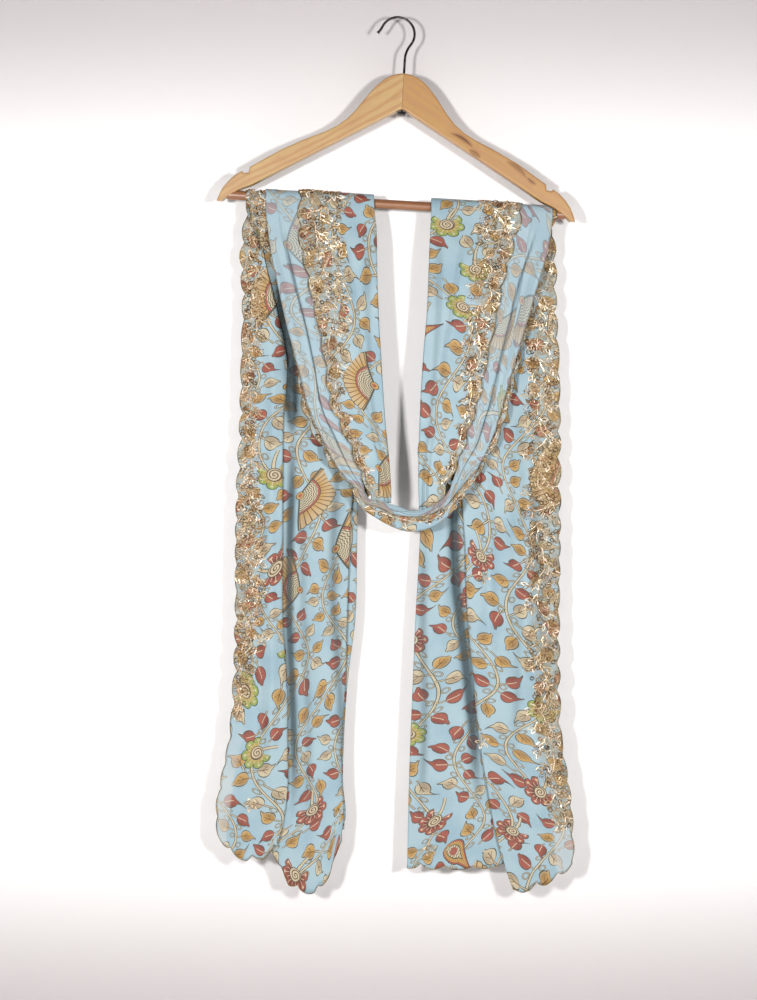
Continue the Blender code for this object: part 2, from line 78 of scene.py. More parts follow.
class Term:
    """A number, place or colour in a material's node tree. The usual signs join numbers by Math nodes."""

    def __init__(self, socket):
        self.socket = socket
        self.tree = socket.id_data

    def by(self, operation, *others, last=False):
        """The result of a Math node on this number and the others; with last, this one comes after them."""
        terms = [*others, self] if last else [self, *others]
        return Term(new_node("Math", *terms, operation=operation).outputs[0])

    __add__ = __radd__ = partialmethod(by, "ADD")
    __sub__ = partialmethod(by, "SUBTRACT")
    __rsub__ = partialmethod(by, "SUBTRACT", last=True)
    __mul__ = __rmul__ = partialmethod(by, "MULTIPLY")
    __truediv__ = partialmethod(by, "DIVIDE")
    __lt__ = partialmethod(by, "LESS_THAN")
    __gt__ = partialmethod(by, "GREATER_THAN")
    __abs__ = partialmethod(by, "ABSOLUTE")


def feed(socket, value):
    """Links or sets a node's input."""
    if isinstance(value, Term):
        value.tree.links.new(value.socket, socket)
    else:
        socket.default_value = value


def new_node(kind, *values, inputs=None, **choices):
    """A node in the tree of the terms among its values, which feed its first inputs or those named."""
    tree = next(value.tree for value in values if isinstance(value, Term))
    node = tree.nodes.new("ShaderNode" + kind)
    for choice, setting in choices.items():
        setattr(node, choice, setting)
    for place, value in zip(inputs or range(len(values)), values):
        feed(node.inputs[place], value)
    return node


def blended(share, below, above):
    """The colour above laid over the one below by this share."""
    return Term(new_node("Mix", share, below, above, inputs=(0, 6, 7), data_type="RGBA").outputs[2])


def joined(x, y, z=0.0):
    return Term(new_node("CombineXYZ", x, y, z).outputs[0])


def parted(place):
    """The three numbers of a place or a colour."""
    return [Term(output) for output in new_node("SeparateXYZ", place).outputs]


def own_place(tree):
    """The place on the piece, in its own metres."""
    return Term(tree.nodes.new("ShaderNodeTexCoord").outputs["Object"])


def noise(place, scale, detail):
    """A soft random pattern: its node, whose outputs are a number and a colour."""
    return new_node("TexNoise", place, scale, detail, inputs=("Vector", "Scale", "Detail"))


def mottled(place, scale, detail):
    """A soft random number, from 0 to 1."""
    return Term(noise(place, scale, detail).outputs[0])


def eased(number, start, end):
    """0 before start, 1 after end and a soft step between."""
    return Term(new_node("MapRange", number, start, end, interpolation_type="SMOOTHSTEP").outputs[0])


def new_material(name, colour, roughness, metallic=0.0):
    """A plain material, its node tree and its shader."""
    made = bpy.data.materials.new(name)
    made.use_nodes = True
    shader = made.node_tree.nodes["Principled BSDF"]
    for label, value in (("Base Color", colour), ("Roughness", roughness), ("Metallic", metallic)):
        shader.inputs[label].default_value = value
    return made, made.node_tree, shader


def show(tree, finish):
    """Makes this the material's visible surface."""
    feed(tree.nodes["Material Output"].inputs["Surface"], Term(finish.outputs[0]))


def placed(name, data):
    """A new object in the scene."""
    made = bpy.data.objects.new(name, data)
    bpy.context.scene.collection.objects.link(made)
    return made


# Painted shade makes the wall greyer far from the middle, where the lamps light it less. It is seen from the
# front only, so that the wall hides nothing from behind.
WALL_WHITE = dye(240, 237, 236)
paint, tree, shader = new_material("white_wall_paint", WALL_WHITE, 0.9)
_, _, height = parted(own_place(tree))
painted_falloff = eased(abs(height - MIDDLE_HEIGHT), 0.3, 0.66)
feed(shader.inputs["Base Color"], blended(painted_falloff, WALL_WHITE, dye(176, 170, 170)))
from_behind = Term(tree.nodes.new("ShaderNodeNewGeometry").outputs["Backfacing"])
clear = Term(tree.nodes.new("ShaderNodeBsdfTransparent").outputs[0])
show(tree, new_node("MixShader", from_behind, Term(shader.outputs[0]), clear))

floor_paint, _, _ = new_material("pale_floor", dye(232, 231, 229), 0.8)
wall_ends = [(WALL_BEHIND - WALL_LEAN * height, height) for height in (FLOOR_HEIGHT, WALL_TOP)]
floor_ends = [(reach, FLOOR_HEIGHT) for reach in (-FLOOR_REACH, FLOOR_REACH)]
for name, (start, end), finish in (("room_wall", wall_ends, paint), ("room_floor", floor_ends, floor_paint)):
    corners = [(-HALF_WIDTH, *start), (HALF_WIDTH, *start), (HALF_WIDTH, *end), (-HALF_WIDTH, *end)]
    mesh = bpy.data.meshes.new(name)
    mesh.from_pydata(corners, [], [(0, 1, 2, 3)])
    mesh.materials.append(finish)
    placed(name, mesh)

for name, light in LIGHTS.items():
    data = bpy.data.lights.new(name, "AREA")
    data.shape = "RECTANGLE"
    data.size = data.size_y = light.size
    data.energy = light.power
    lamp = placed(name, data)
    lamp.location = light.place
    lamp.rotation_euler = (Vector(LIT_PLACE) - Vector(light.place)).to_track_quat("-Z", "Y").to_euler()

world = bpy.data.worlds.new("soft_room")
world.use_nodes = True
world.node_tree.nodes["Background"].inputs["Color"].default_value = ROOM_LIGHT
world.node_tree.nodes["Background"].inputs["Strength"].default_value = ROOM_LIGHT_POWER
bpy.context.scene.world = world
bpy.context.scene.view_settings.view_transform = "Standard"

lens = bpy.data.cameras.new("camera")
lens.sensor_width = 36
lens.lens = lens.sensor_width * CAMERA_DISTANCE / VIEW_HEIGHT
camera = placed("camera", lens)
camera.location = (VIEW_CENTRE[0], -CAMERA_DISTANCE, VIEW_CENTRE[1])
camera.rotation_euler = (math.pi / 2, 0, 0)
bpy.context.scene.camera = camera


# ---------------------------------------------------------------- the wooden arms
# Two lengths of pale hardwood, sawn, rounded over and mitred together at the top, with a thin clear lacquer.
# The grain runs down each arm; the right one was cut near a knot and has dark streaks.

WOOD_MID = dye(156, 114, 76)
WOOD_DARK = dye(124, 80, 46)
STREAK_HEART = dye(88, 52, 25)
STREAK_HALO = 4.0
# A streak's middle, half its length, half its width, its slope in degrees and how it bows.
Streak = namedtuple("Streak", "across drop length width slope bow")
Arm = namedtuple("Arm", "slope pale streaks")
ARMS = {
    "hanger_arm_left": Arm(math.radians(208.6), dye(170, 140, 95), []),
    "hanger_arm_right": Arm(math.radians(-35.4), dye(162, 124, 74), [
        Streak(79, 148, 17, 1.0, -33, 0.010), Streak(94, 166, 9, 1.6, -36, 0.006),
        Streak(146, 184, 16, 1.5, -40, 0.012), Streak(162, 200, 8, 0.6, -38, -0.01),
    ]),
}


def bumped(height, distance, strength):
    """Gives a material a fine relief of this height."""
    relief = new_node("Bump", strength, distance, height, inputs=("Strength", "Distance", "Height"))
    feed(height.tree.nodes["Principled BSDF"].inputs["Normal"], Term(relief.outputs[0]))


def streaked(colour, x, z, streak, wander, pale, dark):
    """Lays one dark streak of the wood over its colour: a soft halo, a sharp line and a pale heart."""
    lean = math.radians(streak.slope)
    off_x, off_z = x - streak.across, z + streak.drop
    down = off_x * math.cos(lean) + off_z * math.sin(lean)
    over = off_z * math.cos(lean) - off_x * math.sin(lean) + down * down * streak.bow + wander
    taper = (1.0 - (down / streak.length) * (down / streak.length)).by("MAXIMUM", 0.0)
    past = abs(over) - taper * streak.width
    colour = blended((1.0 - eased(past, 0.0, STREAK_HALO)) * taper * 0.7, colour, dark)
    line = 1.0 - eased(past, -0.3, 0.3)
    colour = blended(line * (taper > 0.0) * 0.95, colour, STREAK_HEART)
    heart = 1.0 - eased(abs(over + 0.2) - taper * (streak.width - 0.9), -0.3, 0.2)
    return blended(heart * (taper > 0.3) * (streak.width > 1.2) * 0.8, colour, pale)


def wood(name, slope, streaks, pale, mid, dark):
    """Lacquered wood with its grain along a slope in the hanger's plane, in millimetres."""
    made, tree, shader = new_material(name, pale, 0.38)
    x, y, z = [term * 1000 for term in parted(own_place(tree))]
    along = x * math.cos(slope) + z * math.sin(slope)
    across = z * math.cos(slope) - x * math.sin(slope)

    def grain(lengthways, sideways, inwards, detail):
        return mottled(joined(along * lengthways, across * sideways, y * inwards), 1.0, detail)

    drift = grain(0.007, 0.045, 0.05, 3)
    fibres = grain(0.05, 1.4, 1.4, 4)
    patches = grain(0.02, 0.02, 0.02, 1)
    rings = (across * 0.6 + drift * 20 + y * 0.2).by("SINE") * 0.5 + 0.5
    colour = blended(eased(rings, 0.1, 1.0) * 0.7, pale, mid)
    colour = blended(eased(fibres, 0.5, 0.8) * 0.55, colour, dark)
    colour = blended(eased(patches, 0.4, 0.75) * 0.35, colour, mid)
    for streak in streaks:
        colour = streaked(colour, x, z, streak, (drift - 0.5) * 5, pale, dark)
    feed(shader.inputs["Base Color"], colour)
    feed(shader.inputs["Roughness"], fibres * 0.25 + 0.26)
    shader.inputs["Coat Weight"].default_value = 0.25
    shader.inputs["Coat Roughness"].default_value = 0.25
    bumped(fibres, 0.0003, 0.35)
    return made


def dress(node, finish):
    """Gives a node of the frame its finish."""
    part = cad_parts[node]
    part.data.materials.clear()
    part.data.materials.append(finish)


for name, arm in ARMS.items():
    dress(name, wood(name + "_wood", arm.slope, arm.streaks, arm.pale, WOOD_MID, WOOD_DARK))


# ---------------------------------------------------------------- the trouser bar
# A turned dowel of redder wood, pushed into a blind hole in each arm's tip and sanded smooth.

BAR_SLOPE = math.radians(-3.4)
dress("hanger_bar", wood(
    "dowel_wood", BAR_SLOPE, [], dye(134, 91, 62), dye(118, 77, 50), dye(88, 53, 34),
))


# ---------------------------------------------------------------- the hook and its nut
# A steel wire bent to a hook and screwed down through the mitre into a small square nut, dark plated and
# rubbed a little brighter in places.

plated_steel, tree, shader = new_material("dark_plated_wire", dye(62, 58, 57), 0.36, 1.0)
wear = mottled(own_place(tree), 160, 4)
feed(shader.inputs["Base Color"], blended(eased(wear, 0.45, 0.7), dye(52, 48, 47), dye(92, 87, 84)))
feed(shader.inputs["Roughness"], wear * 0.3 + 0.2)
bumped(wear, 0.0001, 0.2)
dress("hanger_hook", plated_steel)
dress("hanger_nut", plated_steel)


# ---------------------------------------------------------------- the printed chiffon
# Thin polyester chiffon, printed on its face in the old vine manner: wavy double-lined stems, curled leaves
# in maroon, ochre and cream, scalloped rosettes, ribbed fans and mango shapes. The reverse shows it paler.

SKY = dye(147, 168, 176)
SKY_SHADE = dye(126, 153, 166)
PALE_SKY = dye(154, 172, 181)
MAROON = dye(140, 74, 60)
DEEP_MAROON = dye(94, 42, 38)
OCHRE = dye(166, 130, 71)
CREAM = dye(176, 163, 136)
LEAF_GREEN = dye(124, 140, 70)
BROWN = dye(94, 64, 40)
LINE_INK = dye(64, 64, 52)
# Painted shade for the troughs of creases and the furrows of folds:
PAINTED_CREASE_SHADE = dye(20, 44, 50)
SHEER_CLOTH = dye(186, 186, 182)
THREAD_SHADE = dye(98, 84, 54)
THREAD_GOLD = dye(168, 147, 110)
THREAD_COPPER = dye(166, 126, 92)
STEM_GAP = 57.0
STEM_SWAY = 25.0
STEM_TURN = 180.0
LEAF_PITCH = 22.5
LEAF_OFF_STEM = 14.5
LEAF_RADIUS = 7.4
LEAF_TIP = 16.5
CURL_OFF_STEM = 5.4
CURL_RADIUS = 3.0
STALK_END = 17.0
NECK_END = 25.0
FEATURE_PITCH = 112.0
FEATURE_ROOM = 20.5
FAN_REACH = 43.0
FAN_SPREAD = 1.22
SCALES_REACH = 21.5
RIBS_START = 24.6
MANGO_RADIUS = 13.0
MANGO_TIP = 34.0
MANGO_BAND = 6.4
ROSETTE_RADIUS = 18.0
LOBE_DEPTH = 4.6
COIL_RADIUS = 8.0
HAND_DRIFT = 90.0
BORDER_WIDTH = 36.0
GLOW = 0.14


def chance(a, b):
    """Three random numbers that stay the same wherever both of these do."""
    return parted(Term(new_node("TexWhiteNoise", joined(a, b), noise_dimensions="2D").outputs["Color"]))


def painted(colour, inside, ink):
    """Lays an ink over a colour inside a shape."""
    return blended(inside, colour, ink)


def near(number, width):
    """1 where the number is within this width of nought."""
    return abs(number) < width


def between(number, low, high):
    return (number > low) * (number < high)


def double_line(colour, off_line, ink_width, cream_width, where=1.0):
    """A cream line with an ink one to either side of it."""
    colour = painted(colour, near(off_line, ink_width) * where, LINE_INK)
    return painted(colour, near(off_line, cream_width) * where, CREAM)


def outlined(colour, past_edge, where, filling, line_width):
    """Fills a shape and draws its outline."""
    colour = painted(colour, (past_edge < 0.0) * where, filling)
    return painted(colour, near(past_edge, line_width) * where, LINE_INK)


def length_of(x, y):
    return (x * x + y * y).by("SQRT")


def turned(x, y, bearing):
    """The same place in the measure of a shape that is turned by this much: aside of it and along it."""
    sine, cosine = bearing.by("SINE"), bearing.by("COSINE")
    return x * cosine - y * sine, x * sine + y * cosine


def stem_sway(y):
    return (y * (2 * math.pi / STEM_TURN)).by("SINE") * STEM_SWAY


def oval_to_tip(up, radius, tip, sharpness):
    """Half the width of a shape round at one end and drawn out to a tip, and how near the tip it is."""
    ahead = up.by("MAXIMUM", 0.0) / tip
    round_end = (radius * radius - up * up).by("MAXIMUM", 0.0).by("SQRT")
    pointed_end = (1.0 - ahead).by("MAXIMUM", 0.0).by("POWER", sharpness) * radius * (up > 0.0)
    return round_end.by("MAXIMUM", pointed_end), ahead


def leaf(colour, dx, dy, bearing, curl, pick):
    """A round leaf with a thin curled tip, on a stalk: dx and dy run from its middle."""
    side, up = turned(dx, dy, bearing)
    half_width, ahead = oval_to_tip(up, LEAF_RADIUS, LEAF_TIP, 1.9)
    bent = side - ahead * ahead * curl * 12.0
    past = abs(bent) - half_width
    colour = double_line(colour, side, 1.1, 0.5, between(up, -STALK_END, 2.0 - LEAF_RADIUS))
    not_maroon = pick > 0.36
    body = painted(painted(MAROON, not_maroon, OCHRE), pick > 0.78, CREAM)
    shade = painted(DEEP_MAROON, not_maroon, BROWN)
    body = painted(body, eased(bent * curl, -4.0, 8.0) * 0.62, shade)
    body = painted(body, eased(past, -3.4, -0.6) * not_maroon * 0.42, CREAM)
    vein = near(bent - 0.3, 0.45) * between(up, -7.0, 4.0)
    twig = near(abs(bent) - (up + 3.0) * 0.7, 0.35) * near(up, 2.5)
    body = painted(body, vein.by("MAXIMUM", twig * not_maroon), painted(CREAM, not_maroon, BROWN))
    return outlined(colour, past, between(up, -LEAF_RADIUS - 0.4, LEAF_TIP), body, 0.55)


def rosette(colour, rx, ry, pick):
    """A half-open flower, maroon or green, its scalloped petals round a cream coil on a short neck."""
    reach = length_of(rx, ry)
    bearing = rx.by("ARCTAN2", ry)
    lobes = abs((bearing * 3.6).by("SINE"))
    past = reach - (lobes.by("POWER", 0.6) * LOBE_DEPTH + (ROSETTE_RADIUS - LOBE_DEPTH))
    open_side = abs(bearing) < 2.35
    green = pick > 0.5
    petals = painted(MAROON, green, LEAF_GREEN)
    petals = painted(petals, (1.0 - eased(reach, 8.0, 15.0)) * 0.8, painted(DEEP_MAROON, green, OCHRE))
    petals = painted(petals, (abs((bearing * 7.2).by("SINE")) < 0.22) * (reach < 14.0), CREAM)
    petals = painted(petals, (lobes < 0.16) * (reach > 12.0), BROWN)
    petals = painted(petals, (lobes > 0.93) * near(reach - 14.6, 0.9), CREAM)
    colour = double_line(colour, rx - ry * ry * 0.016, 2.1, 1.4, between(ry, -NECK_END, 0.0))
    colour = outlined(colour, past, open_side, petals, 0.5)
    coil = painted(CREAM, (reach * 2.0 + bearing).by("SINE") > 0.35, BROWN)
    coil = painted(coil, near(reach - (COIL_RADIUS - 0.4), 0.5), LINE_INK)
    return painted(colour, reach < COIL_RADIUS, coil)


def scaled(along, bearing, swing, pitch, line):
    """Rows of cream scales with thin lines between them."""
    rows = ((along + abs(bearing.by("SINE")) * swing) / pitch).by("FRACT")
    return painted(CREAM, rows < line, LINE_INK)


def fan(colour, fx, fy):
    """A ribbed fan: rows of cream scales at its root, a maroon band and ochre ribs with round ends."""
    root = fy + FAN_REACH * 0.5
    reach = length_of(fx, root)
    bearing = fx.by("ARCTAN2", root)
    ribs = abs((bearing * 19.0).by("SINE"))
    past = reach - (ribs * 1.2 + (FAN_REACH - 1.2))
    beside = abs(bearing) - FAN_SPREAD
    body = painted(scaled(reach, bearing * 9.0, 1.3, 2.9, 0.34), reach > SCALES_REACH, MAROON)
    rib = painted(OCHRE, eased(reach, 24.0, 38.0) * 0.5, CREAM)
    body = painted(body, reach > RIBS_START, painted(rib, ribs < 0.3, BROWN))
    body = painted(body, near(reach - RIBS_START, 0.5), LINE_INK)
    colour = painted(colour, (past < 0.0) * (beside < 0.0), body)
    rim = near(past, 0.5) * (beside < 0.0)
    flank = near(beside * reach, 1.0) * (past < 0.0) * (reach > 4.0)
    colour = painted(colour, rim.by("MAXIMUM", flank), LINE_INK)
    knob = fx * fx + (root - 1.0) * (root - 1.0)
    for size, ink in ((26.0, LINE_INK), (18.0, OCHRE), (5.0, MAROON)):
        colour = painted(colour, knob < size, ink)
    return colour


def mango(colour, mx, my):
    """A large curled mango shape: a maroon rim, a band of ochre ribs and a net of cream scales."""
    half_width, ahead = oval_to_tip(my, MANGO_RADIUS, MANGO_TIP, 1.25)
    bent = mx - ahead * ahead * 15.0
    past = abs(bent) - half_width
    body = painted(scaled(my, bent * 0.9, 1.6, 3.4, 0.28), length_of(bent, my) < 4.4, MAROON)
    ribs = abs((my * 1.3).by("SINE"))
    body = painted(body, past > -MANGO_BAND, painted(OCHRE, ribs < 0.25, BROWN))
    body = painted(body, near(past + MANGO_BAND, 0.5), LINE_INK)
    body = painted(body, past > -2.2, MAROON)
    return outlined(colour, past, between(my, -MANGO_RADIUS - 0.4, MANGO_TIP), body, 0.55)


def vine_print(tree):
    """The whole print in flat cloth millimetres: ground, stems, curls, leaves, then the large flowers."""
    cloth = tree.nodes.new("ShaderNodeUVMap")
    cloth.uv_map = "cloth"
    u, v, _ = [term * 1000 for term in parted(Term(cloth.outputs[0]))]
    drift_x, drift_y, _ = parted(Term(noise(joined(u, v), 0.0052, 1).outputs["Color"]))
    x = u + (drift_x - 0.5) * HAND_DRIFT
    y = v + (drift_y - 0.5) * HAND_DRIFT
    colour = blended(eased(mottled(joined(u, v), 0.02, 2), 0.35, 0.7) * 0.75, SKY, SKY_SHADE)

    from_stem = x - stem_sway(y)
    stem = (from_stem / STEM_GAP).by("ROUND")
    off_stem = from_stem - stem * STEM_GAP
    side = off_stem.by("SIGN")
    colour = double_line(colour, off_stem, 1.8, 1.1)

    stagger = stem * 0.37 + side * 0.23
    rung = y / LEAF_PITCH + stagger
    curl_y = y - (rung.by("ROUND") - stagger) * LEAF_PITCH
    ring = length_of(abs(off_stem) - CURL_OFF_STEM, curl_y) - CURL_RADIUS
    colour = double_line(colour, ring, 0.8, 0.3)

    row = rung.by("FLOOR")
    branch = stem * 2.0 + side * 0.5
    reach_luck, height_luck, curl_luck = chance(branch, row)
    tint_luck, _, _ = chance(row, branch + 40.0)
    leaf_y = (row + 0.5 - stagger) * LEAF_PITCH + (height_luck - 0.5) * 5.0
    leaf_x = stem * STEM_GAP + stem_sway(leaf_y) + side * (reach_luck * 3.0 + (LEAF_OFF_STEM - 1.5))
    bearing = side * (reach_luck * 2.2 + 0.4)
    curl = (curl_luck - 0.5).by("SIGN")

    block = (y / FEATURE_PITCH + stem * 0.41).by("FLOOR")
    rise_luck, shift_luck, kind_luck = chance(stem + 7.0, block)
    lean_luck, _, _ = chance(block, stem + 60.0)
    flower_y = (block + 0.5 - stem * 0.41) * FEATURE_PITCH + (rise_luck - 0.5) * 14.0
    flower_x = stem * STEM_GAP + stem_sway(flower_y) + (shift_luck - 0.5) * 8.0
    is_flower, is_mango, is_fan = kind_luck > 0.42, kind_luck > 0.72, kind_luck > 0.82
    room = length_of(leaf_x - flower_x, leaf_y - flower_y) - is_fan * 5.0
    leaves = leaf(colour, x - leaf_x, y - leaf_y, bearing, curl, tint_luck)
    colour = painted(colour, (room > FEATURE_ROOM).by("MAXIMUM", 1.0 - is_flower), leaves)

    lean = (lean_luck - 0.5) * (3.0 - is_fan * 2.3) + is_fan * 1.57 * (shift_luck - 0.5).by("SIGN")
    fx, fy = turned(x - flower_x, y - flower_y, lean)
    colour = painted(colour, is_flower * (1.0 - is_mango), rosette(colour, fx, fy, shift_luck))
    colour = painted(colour, is_mango * (1.0 - is_fan), mango(colour, fx, fy + 8.0))
    return painted(colour, is_fan, fan(colour, fx, fy))


def carried(tree, name):
    """A number that the mesh's own points carry."""
    node = tree.nodes.new("ShaderNodeAttribute")
    node.attribute_name = name
    return Term(node.outputs["Fac"])


def gilded(tree, colour, cover):
    """Adds the close gold stitching that fills the cloth near its embroidered long edge."""
    place = own_place(tree)
    clumps, stitches = mottled(place, 150, 3), mottled(place, 700, 2)
    from_edge = carried(tree, "border") + (clumps - 0.5) * 60
    worked = 1.0 - eased(from_edge, BORDER_WIDTH * 0.62, BORDER_WIDTH * 0.9)
    thread = blended(eased(stitches, 0.42, 0.62), THREAD_SHADE, THREAD_GOLD)
    thread = blended(eased(clumps, 0.55, 0.7) * 0.5, thread, THREAD_COPPER)
    close = eased(clumps * 0.6 + stitches * 0.4, 0.4, 0.52)
    return blended(worked * close * cover, colour, thread)


def chiffon(name, reverse):
    """Chiffon by the side that shows: the face is bright, the reverse is pale and milky."""
    made, tree, shader = new_material(name, SKY, 0.62)
    colour = vine_print(tree)
    if reverse:
        colour = blended(0.4, colour, PALE_SKY)
    crinkle_and_glint = mottled(own_place(tree), 420, 3)
    colour = gilded(tree, colour, 0.35 if reverse else 0.62)
    # Faint white flecks on the crinkle are painted glints; the same noise also gives roughness and relief.
    colour = blended(eased(crinkle_and_glint, 0.5, 0.75) * 0.04, colour, (1, 1, 1, 1))
    colour = blended(carried(tree, "thin") * 0.45, colour, SHEER_CLOTH)
    # Painted shade darkens the cloth in the troughs of its creases and the furrows of its folds.
    colour = blended(eased(carried(tree, "hollow"), 0.0, 0.85) * 0.88, colour, PAINTED_CREASE_SHADE)
    feed(shader.inputs["Base Color"], colour)
    feed(shader.inputs["Roughness"], crinkle_and_glint * 0.3 + 0.5)
    shader.inputs["Sheen Weight"].default_value = 0.15
    shader.inputs["Sheen Roughness"].default_value = 0.4
    bumped(crinkle_and_glint, 0.0004, 0.25)
    glow = Term(new_node("BsdfTranslucent", colour).outputs[0])
    show(tree, new_node("MixShader", GLOW, Term(shader.outputs[0]), glow))
    return made


face_chiffon = chiffon("printed_chiffon_face", False)
reverse_chiffon = chiffon("printed_chiffon_reverse", True)


# ---------------------------------------------------------------- the two tails
# The stole's ends, hung down behind the bar. Each is the whole width of the cloth laid over in six layers,
# with one large pleat in front. The hem and the long edges are cut in scallops and bound with gold thread.

TILT = math.radians(3.4)
MITRE_TOP = (7.7, 67.8)
BAR_DROP = 160.0
BAR_RADIUS = 5.75
CLOTH_THICK = 0.45
INNER_LAYER = BAR_RADIUS + 1.0
FOLD_STEPS = 4
REAR_SEAM = math.radians(-50)
# A row for each height. The columns are where the folds lie across, in the order in which the cloth runs from
# its outer long edge: front pleat out and back, inner fold, outer fold, second inner fold, free long edge.
TailRow = namedtuple(
    "TailRow", "drop edge pleat_out pleat_in inner outer inner_back free_edge pitch spread"
)
LEFT_TAIL = [
    TailRow(None, -183, -164, -170, -29, -161, -29, -119, 1.4, 0.0),
    TailRow(283, -191, -164, -174, -29, -166, -29, -119, 1.8, 0.3),
    TailRow(344, -189, -150, -174, -33, -170, -30, -120, 2.4, 0.7),
    TailRow(417, -191, -136, -178, -37, -175, -34, -123, 2.8, 1.0),
    TailRow(490, -192, -140, -180, -44, -178, -39, -124, 3.0, 1.0),
    TailRow(575, -196, -141, -184, -55, -180, -48, -127, 3.2, 1.0),
    TailRow(649, -198, -141, -186, -59, -183, -50, -128, 3.2, 1.0),
    TailRow(734, -198, -141, -188, -62, -184, -52, -129, 3.2, 1.0),
    TailRow(807, -200, -136, -189, -64, -186, -61, -131, 3.2, 1.0),
    TailRow(880, -206, -135, -192, -68, -190, -66, -134, 3.2, 1.0),
    TailRow(941, -218, -135, -197, -68, -192, -67, -136, 3.2, 1.0),
    TailRow(996, -222, -139, -201, -66, -195, -64, -137, 3.2, 1.0),
    TailRow(1015, -220, -147, -198, -69, -192, -66, -137, 3.2, 1.0),
]
RIGHT_TAIL = [
    TailRow(None, 186, 169, 175, 41, 181, 41, 131, 1.4, 0.0),
    TailRow(283, 192, 149, 180, 42, 180, 43, 127, 1.8, 0.3),
    TailRow(344, 193, 132, 177, 39, 181, 41, 125, 2.4, 0.7),
    TailRow(417, 197, 111, 171, 36, 182, 39, 124, 2.8, 1.0),
    TailRow(490, 198, 94, 161, 34, 182, 37, 122, 3.0, 1.0),
    TailRow(575, 198, 80, 143, 30, 183, 33, 122, 3.2, 1.0),
    TailRow(649, 198, 83, 139, 27, 183, 31, 121, 3.2, 1.0),
    TailRow(734, 197, 86, 139, 22, 183, 27, 120, 3.2, 1.0),
    TailRow(807, 197, 93, 142, 19, 182, 24, 119, 3.2, 1.0),
    TailRow(880, 200, 100, 147, 16, 182, 21, 117, 3.2, 1.0),
    TailRow(941, 210, 110, 152, 14, 183, 19, 116, 3.2, 1.0),
    TailRow(996, 214, 122, 157, 13, 185, 17, 115, 3.2, 1.0),
    TailRow(1050, 215, 141, 165, 12, 186, 18, 115, 3.2, 1.0),
]
# Where each layer's hem lies, at its start, middle and end. A tucked one falls away slowly from its start.
HemRow = namedtuple("HemRow", "start middle end tucked", defaults=[False])
LEFT_HEM = [
    HemRow(1000, 1028, 1012), HemRow(1012, 1004, 985), HemRow(985, 1063, 1015, True),
    HemRow(1015, 1041, 1010), HemRow(1010, 1037, 1016), HemRow(1016, 1029, 1008),
]
RIGHT_HEM = [
    HemRow(1034, 1057, 1067), HemRow(1067, 1051, 1032), HemRow(1032, 1040, 1037),
    HemRow(1037, 1041, 1029), HemRow(1029, 1034, 1032), HemRow(1032, 1037, 1027),
]
HEM_RISE_STARTS = 941
TAIL_CLEARANCE = 0.8
WAVE_DEPTH = 3.5
WAVE_LENGTH = 92.0
WAVE_STARTS = 240
WAVE_FULL = 740
WAVE_SLANT = 160.0
WEDGE = 12.0
NARROW_LAYER = 30.0
THINNEST_PILE = 6.0
ROW_SPACING = 4.5
COLUMN_SPACING = 4.0
SCALLOP_PITCH = 33.0
SCALLOP_DEPTH = 6.0
SCALLOP_FADE = 26.0
HEM_SCALLOP_PITCH = 29.0
HEM_SCALLOP_DEPTH = 9.5
REAR_HEM_RISE = 14.0
HEM_STRETCH = 90.0
DARKEST_CREASE = 7
NO_BORDER = 1000.0

# Soft creases that run down the cloth: the places (across, drop) that each passes through, its width, and its
# depth in the cloth's thickness direction (a trough is negative, and gets painted shade).
Crease = namedtuple("Crease", "path width depth")
TAIL_CREASES = [
    Crease([(-148, 290), (-141, 360), (-133, 430), (-127, 520)], 8, -9.0),
    Crease([(-131, 460), (-132, 600), (-130, 800), (-130, 1010)], 5.5, -5.6),
    Crease([(-163, 300), (-152, 520), (-156, 860), (-150, 1000)], 7, 3.6),
    Crease([(-170, 560), (-166, 1000)], 5, -2.4),
    Crease([(-96, 300), (-104, 560), (-88, 900)], 11, 5.0),
    Crease([(-71, 420), (-78, 700), (-66, 1000)], 6.5, -3.4),
    Crease([(-116, 520), (-110, 1040)], 6, -2.4),
    Crease([(-50, 330), (-62, 700)], 7, 4.4),
    Crease([
        (122, 330), (103, 420), (84, 500), (71, 575), (74, 700), (84, 810), (98, 940), (114, 1010),
    ], 6.8, -6.4),
    Crease([(104, 420), (112, 640), (106, 860)], 8, 3.6),
    Crease([(128, 360), (146, 560), (147, 760), (138, 980)], 6, -2.8),
    Crease([(158, 300), (163, 560), (150, 900)], 9, 4.4),
    Crease([(50, 320), (58, 620), (40, 940)], 9, 5.0),
    Crease([(62, 270), (70, 420)], 14, -5.0),
    Crease([(36, 600), (28, 1000)], 6, -3.0),
    Crease([(174, 520), (182, 1000)], 7, -3.6),
]
# How wide the embroidered border shows, by the drop below the hook.
FRONT_BORDER = {
    "left": [
        (200, 24), (380, 27), (425, 15), (480, 20), (560, 26), (600, 35), (700, 33), (770, 26), (810, 15),
        (855, 12), (860, 0),
    ],
    "right": [(200, 40), (700, 42), (860, 36), (930, 30), (985, 28), (992, 0)],
}
BACK_BORDER = [(200, 34), (820, 34), (900, 22), (920, 0)]
# How much lower the pleat behind the front fold hangs, by the place across.
HEM_SHIFTS = {
    "left": [(-148, -6), (-134, -4), (-119, 8), (-106, 13), (-92, 16), (-83, 16), (-75, 0), (-69, -12)],
    "right": [(0, 0), (200, 0)],
}
# The sheer corner of each hem: how far in from the outer edge it ends, and the drops between which it begins.
SheerCorner = namedtuple("SheerCorner", "full_to none_from begins full_from")
SHEER_CORNERS = {"left": SheerCorner(14, 18, 850, 940), "right": SheerCorner(22, 27, 980, 1000)}
PRINT_STARTS = {"left": (0, 0), "right": (700, 90)}
# A fine grid of places, with how far across and down the flat cloth each of them lies.
Cloth = namedtuple("Cloth", "places across down")


